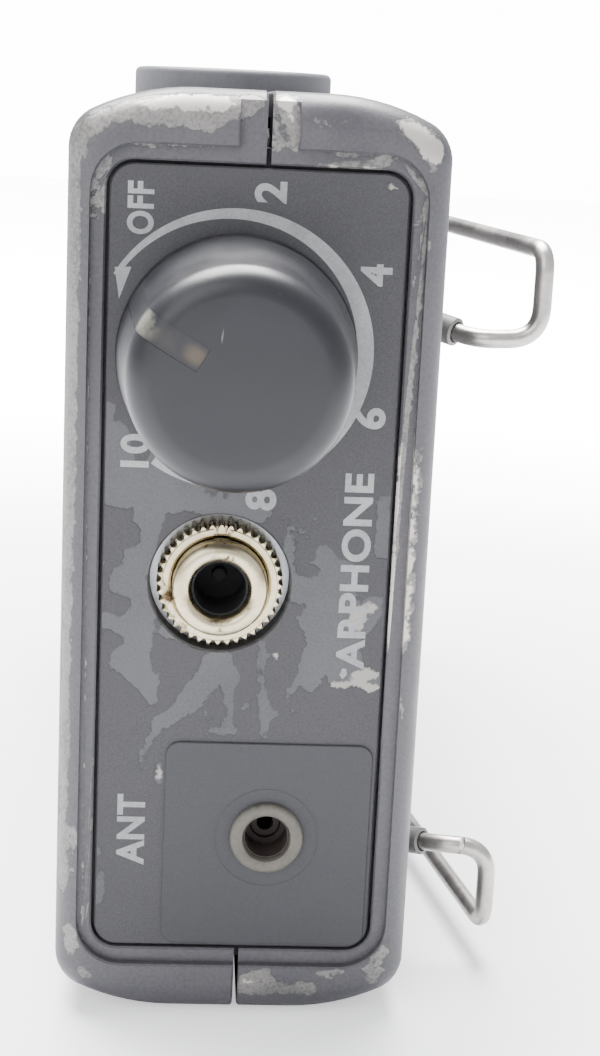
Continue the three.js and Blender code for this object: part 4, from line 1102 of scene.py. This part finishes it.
def knob_profile(inset):
    """The knob's outline, or one that far under its surface: skirt, tapered side, round edge, slight dome."""
    top = KNOB_TALL - inset
    edge = KNOB_EDGE - inset / 2
    front, base = KNOB_FRONT - inset, KNOB_BASE - inset
    rows = [(0, 0), (base - 0.15, 0), (base, 0.15), (base, KNOB_SKIRT - 0.1), (base - 0.08, KNOB_SKIRT)]
    for share in np.linspace(0.12, 0.9, 8):
        rows.append((base + (front - base) * share, KNOB_SKIRT + (top - edge - KNOB_SKIRT) * share))
    for turn in np.linspace(0, math.pi / 2, 14):
        rows.append((front - edge + edge * math.cos(turn), top - KNOB_DOME - edge + edge * math.sin(turn)))
    for share in (0.75, 0.5, 0.25):
        rows.append(((front - edge) * share, top - KNOB_DOME * share))
    rows.append((0, top))
    return [(r, h + KNOB_FOOT) for r, h in rows]


def across_pointer(start, reach, low, high, width):
    """A bar lying along the pointer's direction."""
    c, s = math.cos(POINTER_ANGLE), math.sin(POINTER_ANGLE)
    corners = [(start, -width / 2), (reach, -width / 2), (reach, width / 2), (start, width / 2)]
    place = on_panel(KNOB_AT)
    return prism(corners, low, high, lambda a, b, h: place(a * c - b * s, h, a * s + b * c))


def add_knob():
    place = on_panel(KNOB_AT)
    low, high = KNOB_FOOT + KNOB_SKIRT, KNOB_FOOT + KNOB_TALL + 1
    outside, groove_floor, paint_face, paint_floor = (
        turned("knob", knob_profile(inset), place, 128) for inset in (0, 0.5, 0.03, 0.44)
    )
    notch = cut(across_pointer(POINTER_START, POINTER_REACH, low, high, POINTER_WIDTH), groove_floor)
    hollow = rod(6.1, KNOB_FOOT - 1, 2.95, place, 64)
    shaft_bore = rod(3.1, 0, 10.35, place, 48)
    knob = cut(outside, notch, hollow, shaft_bore)
    finish_piece("volume_knob_cap", knob, KNOB_PLASTIC, "knob", "knob_plastic", "volume_knob", angle=40)
    gap = 0.01
    bar = across_pointer(POINTER_START + gap, POINTER_REACH, low, high, POINTER_WIDTH - 2 * gap)
    paint = cut(cut(bar, paint_face, operation="INTERSECT"), paint_floor)
    finish_piece("knob_pointer_line", paint, POINTER_PAINT, "knob", "pointer_paint", "knob_pointer", angle=40)


# ---------------------------------------------------------------- geometry node builders
def node_tree(name, inputs):
    """A geometry tree with its named inputs; returns the tree, its helper and its two ends."""
    tree = bpy.data.node_groups.new(name, "GeometryNodeTree")
    tree.interface.new_socket("Geometry", in_out="INPUT", socket_type="NodeSocketGeometry")
    for label, kind, default in inputs:
        socket = tree.interface.new_socket(label, in_out="INPUT", socket_type=kind)
        if default is not None:
            socket.default_value = default
    tree.interface.new_socket("Geometry", in_out="OUTPUT", socket_type="NodeSocketGeometry")
    entry = tree.nodes.new("NodeGroupInput")
    leave = tree.nodes.new("NodeGroupOutput")
    return tree, Tree(tree), entry.outputs, leave.inputs


def close_tree(made, helper, geometry, material, leave):
    realized = helper.put("GeometryNodeRealizeInstances", {0: geometry}).outputs[0]
    dressed = helper.put("GeometryNodeSetMaterial", {"Geometry": realized, "Material": material})
    made.links.new(dressed.outputs[0], leave[0])


def run_tree(tree, base, values):
    """The plain mesh a geometry tree makes from a base mesh, with its inputs set by name."""
    holder = bpy.data.objects.new("holder", base)
    bpy.context.scene.collection.objects.link(holder)
    step = holder.modifiers.new("step", "NODES")
    step.node_group = tree
    sockets = {item.name: item.identifier for item in tree.interface.items_tree
               if item.item_type == "SOCKET" and item.in_out == "INPUT"}
    for label, value in values.items():
        step[sockets[label]] = value
    result = bpy.data.meshes.new_from_object(holder.evaluated_get(bpy.context.evaluated_depsgraph_get()))
    holder.modifiers.remove(step)
    bpy.data.objects.remove(holder)
    return result


def wire_tree(material):
    """A round wire along the path it is given."""
    tree, helper, given, leave = node_tree("wire_along_path", [
        ("Wire Radius", FLOAT, 0.0006), ("Sides", "NodeSocketInt", 20),
    ])
    path = helper.put("GeometryNodeMeshToCurve", {0: given["Geometry"]}).outputs[0]
    section = helper.put("GeometryNodeCurvePrimitiveCircle", {
        "Resolution": given["Sides"], "Radius": given["Wire Radius"],
    }).outputs["Curve"]
    tube = helper.put("GeometryNodeCurveToMesh", {"Curve": path, "Profile Curve": section, "Fill Caps": True})
    close_tree(tree, helper, tube.outputs[0], material, leave)
    return tree


def ring_tree(material):
    """A tooth repeated round the Y axis and joined to the blank."""
    tree, helper, given, leave = node_tree("teeth_round_ring", [
        ("Tooth", "NodeSocketObject", None), ("Teeth", "NodeSocketInt", 40), ("Centre", VECTOR, (0, 0, 0)),
    ])
    tooth = helper.put("GeometryNodeObjectInfo", {"Object": given["Tooth"]}).outputs["Geometry"]
    starts = {"Count": given["Teeth"], "Position": given["Centre"]}
    points = helper.put("GeometryNodePoints", starts).outputs[0]
    number = helper.put("GeometryNodeInputIndex").outputs[0]
    share = helper.math("DIVIDE", number, given["Teeth"])
    turn = helper.math("MULTIPLY", share, 2 * math.pi)
    spin = helper.put("ShaderNodeCombineXYZ", {"Y": turn}).outputs[0]
    rotation = helper.put("FunctionNodeEulerToRotation", {0: spin}).outputs[0]
    placed = helper.put("GeometryNodeInstanceOnPoints", {
        "Points": points, "Instance": tooth, "Rotation": rotation,
    }).outputs[0]
    both = tree.nodes.new("GeometryNodeJoinGeometry")
    tree.links.new(given["Geometry"], both.inputs[0])
    tree.links.new(placed, both.inputs[0])
    close_tree(tree, helper, both.outputs[0], material, leave)
    return tree


def screw_tree(material):
    """A screw at each point, its slot turned at random about the X axis."""
    tree, helper, given, leave = node_tree("screws_at_points", [
        ("Screw", "NodeSocketObject", None), ("Turn Seed", "NodeSocketInt", 4),
    ])
    screw = helper.put("GeometryNodeObjectInfo", {"Object": given["Screw"]}).outputs["Geometry"]
    chance = helper.put("FunctionNodeRandomValue", data_type="FLOAT")
    tree.links.new(given["Turn Seed"], chance.inputs["Seed"])
    turn = helper.math("MULTIPLY", chance.outputs[1], math.pi)
    spin = helper.put("ShaderNodeCombineXYZ", {"X": turn}).outputs[0]
    rotation = helper.put("FunctionNodeEulerToRotation", {0: spin}).outputs[0]
    placed = helper.put("GeometryNodeInstanceOnPoints", {
        "Points": given["Geometry"], "Instance": screw, "Rotation": rotation,
    }).outputs[0]
    close_tree(tree, helper, placed, material, leave)
    return tree


def scratch_object(mesh):
    made = bpy.data.objects.new("pattern", mesh)
    bpy.context.scene.collection.objects.link(made)
    return made


# ---------------------------------------------------------------- earphone jack and antenna socket
JACK_TEETH = 40
JACK_BORE = 1.8
JACK_SLEEVE = 3.0


def add_jack():
    """The knurled nut, the sleeve through it and a near-black well in the socket's bore, painted shade inside
    it.
    """
    place = on_panel(JACK_AT)
    low, top, edge = -1.7, 0.45, 0.12
    inner, root = 3.1, 3.72
    rows = [(inner, low), (root, low), (root, top - edge), (root - edge, top), (inner + 0.15, top),
            (inner, top - edge)]
    driver_slot = block(JACK_AT[0] - 0.5, JACK_AT[0] + 0.5, PANEL_Y - top - 1, PANEL_Y - top + 0.55,
                        JACK_AT[1] + 2.6, JACK_AT[1] + 5)
    blank = cut(turned("nut", rows, place, 96), driver_slot)
    section = [(3.45, -0.24), (3.78, -0.21), (4.0, -0.07), (4.0, 0.07), (3.78, 0.21), (3.45, 0.24)]
    tooth = loft("tooth", [[(r * grow, -h, w * grow) for r, w in section]
                           for h, grow in ((low, 1.0), (top - 0.2, 1.0), (top - 0.06, 0.965))])
    pattern = scratch_object(tooth)
    centre = [c * MM for c in place(0, 0, 0)]
    nut = run_tree(ring_tree(NICKEL), blank, {"Tooth": pattern, "Teeth": JACK_TEETH, "Centre": centre})
    bpy.data.objects.remove(pattern)
    finish_piece("jack_knurled_nut", nut, NICKEL, "case", "nickel", "jack_nut", angle=30)

    low, top = -2.9, 1.95
    rows = [(JACK_BORE, low), (JACK_SLEEVE, low), (JACK_SLEEVE, 0.5), (2.93, 0.6), (2.93, 0.75),
            (JACK_SLEEVE, 0.85), (JACK_SLEEVE, top - 0.5), (2.96, top - 0.3), (2.82, top - 0.12),
            (2.6, top - 0.02), (2.3, top), (2.15, top - 0.04), (1.98, top - 0.16), (1.86, top - 0.4),
            (JACK_BORE, top - 0.7)]
    sleeve = turned("sleeve", rows, place, 96)
    finish_piece("jack_threaded_sleeve", sleeve, NICKEL, "case", "nickel", "jack_bushing", angle=30)
    # A near-black well lining the bore: painted shade inside the socket.
    floor = low + 0.3
    rows = [(0, low + 0.05), (1.77, low + 0.05), (1.77, top - 0.75), (1.66, top - 0.85), (1.66, floor),
            (0.5, floor), (0.42, low + 0.8), (0, low + 0.9)]
    finish_piece("jack_floor", turned("well", rows, place, 48), BORE_PAINTED_SHADE, "case", "black_plastic", angle=30)


def add_antenna():
    """The flanged ring of the antenna socket, and the tarnish just inside its bore."""
    place = on_panel(ANTENNA_AT)
    foot, top, end = 0.2, 0.65, -6.35
    bore, barrel, flange = 1.5, 1.9, 2.4
    rows = [(bore, end), (barrel, end), (barrel, foot), (flange, foot), (flange, top - 0.28),
            (2.34, top - 0.12), (2.2, top - 0.02), (2.0, top), (1.78, top - 0.02), (1.6, top - 0.12),
            (1.52, top - 0.3), (bore, top - 0.5)]
    finish_piece("antenna_socket_ring", turned("ring", rows, place, 96), RING_METAL, "case", "nickel",
                 "antenna_bushing", angle=35)
    liner = turned("liner", [(1.4, -2.1), (1.49, -2.1), (1.49, 0.1), (1.47, 0.16), (1.4, 0.1)], place, 64)
    finish_piece("antenna_socket_liner", liner, TARNISH, "case", "black_plastic", angle=35)


# ---------------------------------------------------------------- channel module, door and screws
def add_module():
    """The channel module's round head, with a raised rim and a coin slot."""
    place = along_z(MODULE_AT)
    radius, top = MODULE_HEAD
    foot, edge, dish = MODULE_SEAT[1] + 0.05, 0.5, top - 0.42
    rows = [(0, foot), (radius - 0.15, foot), (radius, foot + 0.15), (radius, top - edge - 0.05)]
    for turn in np.linspace(0, math.pi / 2, 8)[1:]:
        rows.append((radius - edge + edge * math.cos(turn), top - edge + edge * math.sin(turn)))
    rows += [(7.2, top), (7.05, top - 0.05), (6.9, top - 0.3), (6.75, top - 0.35), (3.0, dish), (0, dish)]
    slot = prism(rounded((3.6, 0.55), 0.5, steps=8, centre=MODULE_AT), top - 1.0, top + 1, as_given)
    head = cut(turned("head", rows, place, 128), slot)
    finish_piece("channel_module_top", head, CAP_PLASTIC, "channel_module", "knob_plastic",
                 "channel_module_cap", angle=40)


def add_door():
    """Battery door with ribs for the thumb, a finger notch and a hinge knuckle."""
    half, low, top = DOOR_HALF, DOOR_FOOT, DOOR_PIN[1]
    bevel = 0.15
    full = [(-half, low), (half, low), (half, top), (-half, top)]
    slim = half - bevel
    face = [(-slim, low + bevel), (slim, low + bevel), (slim, top), (-slim, top)]
    levels = [(full, INNER_BACK_Y), (full, BACK_Y - bevel), (face, BACK_Y)]
    plate = loft("plate", [[out_of_the_end(a, b, y) for a, b in outline] for outline, y in levels])
    plate = cut(plate, rod(1.4, -half, half, along_x(DOOR_PIN), 48), operation="UNION")
    floor = BACK_Y - 0.8
    rows = [(0, floor), (3.85, floor), (4.0, floor + 0.15), (4.0, BACK_Y - 0.1), (5.2, BACK_Y + 1),
            (0, BACK_Y + 1)]
    notch = turned("notch", rows, along_y((0.0, low - 1.6)), 64)
    ribs = [block(-5.5, 5.5, BACK_Y - 0.25, BACK_Y + 1, z - 0.3, z + 0.3) for z in np.arange(8.0, 14.1, 1.5)]
    plate = cut(plate, rod(PIN_HOLE, -half - 1, half + 1, along_x(DOOR_PIN), 32), notch, *ribs)
    foot_wear = (-8.9, BACK_Y, 3.0, 8.9, BACK_Y, 3.0, 0.25)
    mark(plate, "wear", [
        foot_wear, (-3.8, BACK_Y, 5.0, 3.8, BACK_Y, 5.0, 0.4), (-8, BACK_Y, 33.3, 8, BACK_Y, 33.3, 0.25),
        (-9.0, BACK_Y, 4.0, -9.0, BACK_Y, 30.0, 0.15), (9.0, BACK_Y, 4.0, 9.0, BACK_Y, 30.0, 0.2),
    ])
    mark(plate, "polish", [foot_wear])
    finish_piece("battery_door_plate", plate, CASE_ENAMEL, "door", "case_paint", "battery_door", angle=28)


def screw_blank():
    """A slotted pan head on its shank, standing along X at the origin."""
    tip, foot, tall = -5.8, SCREW_SEAT_X + 0.05, 1.2
    rows = [(0, tip), (SCREW_SHANK, tip), (SCREW_SHANK, foot), (SCREW_HEAD, foot), (SCREW_HEAD, foot + 0.55),
            (SCREW_HEAD - 0.12, foot + 0.85), (SCREW_HEAD - 0.5, foot + 1.08), (0.8, foot + tall - 0.02),
            (0, foot + tall)]
    slot = block(foot + 0.65, foot + tall + 1, -3, 3, -0.26, 0.26)
    return cut(turned("screw", rows, along_x((0.0, 0.0)), 40), slot)


def add_screws():
    points = mesh_points([(0.0, y, z) for y, z in SCREWS])
    pattern = scratch_object(screw_blank())
    screws = run_tree(screw_tree(ZINC_STEEL), points, {"Screw": pattern, "Turn Seed": 4})
    bpy.data.objects.remove(pattern)
    nodes = [f"case_screw_{number}" for number in (1, 2, 3, 4)]
    finish_piece("case_screws", screws, ZINC_STEEL, "case", "zinc_steel", *nodes, angle=30)


def mesh_points(points, edges=()):
    mesh = bpy.data.meshes.new("points")
    mesh.from_pydata([tuple(c * MM for c in p) for p in points], list(edges), [])
    return mesh


# ---------------------------------------------------------------- belt clip
CLIP_DROOP = 0.9
CLIP_STANDOFF = 7.5
WIRE_RADIUS = 0.62
SLEEVE_SPAN = (0.62, 0.2)
# Corners of the wire's upper half from CLIP_AT, from its foot to its far bow: x, y, z and where each bend
# starts.
CLIP_SIDE = [
    (-2.82, 5.3, 22.3, 0), (-2.82, 5.3, 19.3, 0.9), (3.3, 0, 17.9, 1.4), (CLIP_STANDOFF, 0, 18.1, 2.1),
    (CLIP_STANDOFF, 0, 23.9, 1.5), (0.72, 36, 24.4, 3), (1.8, 43, 24.1, 3.2),
]


def bent_path(rows, step=0.35):
    """Points along straight legs joined by bends; each row is x, y, z and how far the bend starts."""
    places = [Vector(row[:3]) for row in rows]
    path = [places[0]]
    for index in range(1, len(places) - 1):
        corner, bend = places[index], rows[index][3]
        entry = corner + (places[index - 1] - corner).normalized() * bend
        leave = corner + (places[index + 1] - corner).normalized() * bend
        span = (entry - path[-1]).length
        pieces = max(1, int(span / (step * 4)))
        path += [path[-1].lerp(entry, (i + 1) / pieces) for i in range(pieces)]
        for share in np.linspace(0, 1, 15)[1:]:
            path.append(entry.lerp(corner, share).lerp(corner.lerp(leave, share), share))
    path.append(places[-1])
    return path


def clip_point(point):
    return tuple(a + b for a, b in zip(CLIP_AT, point))


def clip_side(side):
    """The lower leg is bent a little nearer the case than the upper one."""
    droop = 0 if side > 0 else CLIP_DROOP
    return [(x - droop if x == CLIP_STANDOFF else x, y, side * z, bend) for x, y, z, bend in CLIP_SIDE]


def add_clip():
    rows = clip_side(1) + list(reversed(clip_side(-1)))
    path = [clip_point(p) for p in bent_path(rows)]
    base = mesh_points(path, [(i, i + 1) for i in range(len(path) - 1)])
    wire = run_tree(wire_tree(SPRING_STEEL), base, {"Wire Radius": WIRE_RADIUS * MM, "Sides": 24})
    wire = weld(wire, 1e-6)
    finish_piece("belt_clip_wire", wire, SPRING_STEEL, "clip", "spring_steel", "belt_clip", angle=50)
    for label, side in (("clip_sleeve_upper", 1), ("clip_sleeve_lower", -1)):
        foot, bend = [Vector(row[:3]) for row in clip_side(side)[1:3]]
        path = [bend.lerp(foot, share) for share in np.linspace(*SLEEVE_SPAN, 8)]
        points = [Vector(clip_point(p)) for p in path]
        sleeve = sleeve_mesh(points, WIRE_RADIUS + 0.1, WIRE_RADIUS + 0.34)
        finish_piece(f"{label}_tube", sleeve, SLEEVE_PLASTIC, "clip", "sleeve_plastic", label, angle=50)


def sleeve_mesh(path, inner, outer):
    """A short tube along a straight path, with its outer ends rounded over."""
    along = (path[-1] - path[0]).normalized()
    side = along.orthogonal().normalized()
    up = along.cross(side)
    lip = along * 0.08
    stations = [(path[0], outer - 0.1), (path[0] + lip, outer)]
    stations += [(point, outer) for point in path[1:-1]]
    stations += [(path[-1] - lip, outer), (path[-1], outer - 0.1), (path[-1], inner), (path[0], inner)]
    turns = [2 * math.pi * i / 24 for i in range(24)]
    rings = [[point + side * radius * math.cos(t) + up * radius * math.sin(t) for t in turns]
             for point, radius in stations]
    return closed_loft("sleeve", rings)


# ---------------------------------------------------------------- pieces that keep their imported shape
def numbered(name, count=3):
    return [f"{name}_{number}" for number in range(1, count + 1)]


KEPT_FINISHES = {
    NICKEL: ["pot_nut", "antenna_nut"],
    ZINC_STEEL: ["pot_washer", "pot_body", "knob_set_screw", *numbered("board_screw", 2), "battery_stud_plus",
                 "battery_stud_minus", "snap_contact_plus", "snap_contact_minus"],
    BRASS: ["pot_bushing", *numbered("pot_terminal"), "jack_tip_spring", "jack_sleeve_terminal",
            *numbered("channel_module_pin")],
    ALUMINIUM: ["inner_bracket", "pot_shaft", *numbered("coil_can")],
    SPRING_STEEL: ["door_hinge_pin", "crystal_filter"],
    BLACK_PLASTIC: ["jack_body", "channel_module_body", "receiver_ic", "audio_ic"],
    BOARD: ["main_board"],
    TARNISH: ["antenna_contact", "antenna_insulator"],
    PHENOLIC: ["channel_module_socket", "snap_plate", "trimmer_capacitor"],
    BATTERY_COAT: ["battery_can"],
    FOAM: ["battery_foam"],
    CAPACITOR_SLEEVE: numbered("capacitor", 2),
}


def dress_kept_nodes():
    for material, names in KEPT_FINISHES.items():
        for name in names:
            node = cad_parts[name]
            node.data.materials.clear()
            node.data.materials.append(material)


# ---------------------------------------------------------------- floor
# A glow painted on the floor for the camera alone: dim near the pack, which paints shade round it, and bright
# far off, where it fades into the backdrop; how far from the pack, in metres, and how bright at each end.
FLOOR_NEAR_FAR = (0.05, 0.24)
FLOOR_PAINTED_GLOW = (0.7, 12.0)


def add_floor():
    material = plain_material(
        "pale_floor", colour(236, 237, 240), colour(243, 243, 245), 0.6, grain=1.0, cloud=60.0, strength=0.05,
    )
    work = bmesh.new()
    bmesh.ops.create_grid(work, x_segments=4, y_segments=4, size=1.2)
    mesh = bpy.data.meshes.new("floor")
    work.to_mesh(mesh)
    work.free()
    mesh.materials.append(material)
    floor = bpy.data.objects.new("floor", mesh)
    bpy.context.scene.collection.objects.link(floor)
    tree = Tree(material.node_tree)
    # Painted glow seen only by the camera, dimmer near the pack as painted shade round it.
    painted_glow = tree.put("ShaderNodeEmission", {"Color": (1, 1, 1, 1)})
    seen = tree.put("ShaderNodeLightPath").outputs["Is Camera Ray"]
    place = tree.put("ShaderNodeTexCoord").outputs["Object"]
    away = tree.put("ShaderNodeVectorMath", {0: place}, operation="LENGTH").outputs["Value"]
    glow = tree.span(away, *FLOOR_NEAR_FAR, *FLOOR_PAINTED_GLOW)
    tree.tree.links.new(tree.math("MULTIPLY", seen, glow), painted_glow.inputs["Strength"])
    both = tree.tree.nodes.new("ShaderNodeAddShader")
    tree.tree.links.new(tree.tree.nodes["Principled BSDF"].outputs[0], both.inputs[0])
    tree.tree.links.new(painted_glow.outputs[0], both.inputs[1])
    tree.tree.links.new(both.outputs[0], tree.tree.nodes["Material Output"].inputs["Surface"])


add_case()
add_panel()
add_pad()
add_prints()
add_knob()
add_jack()
add_antenna()
add_module()
add_door()
add_screws()
add_clip()
dress_kept_nodes()
add_floor()
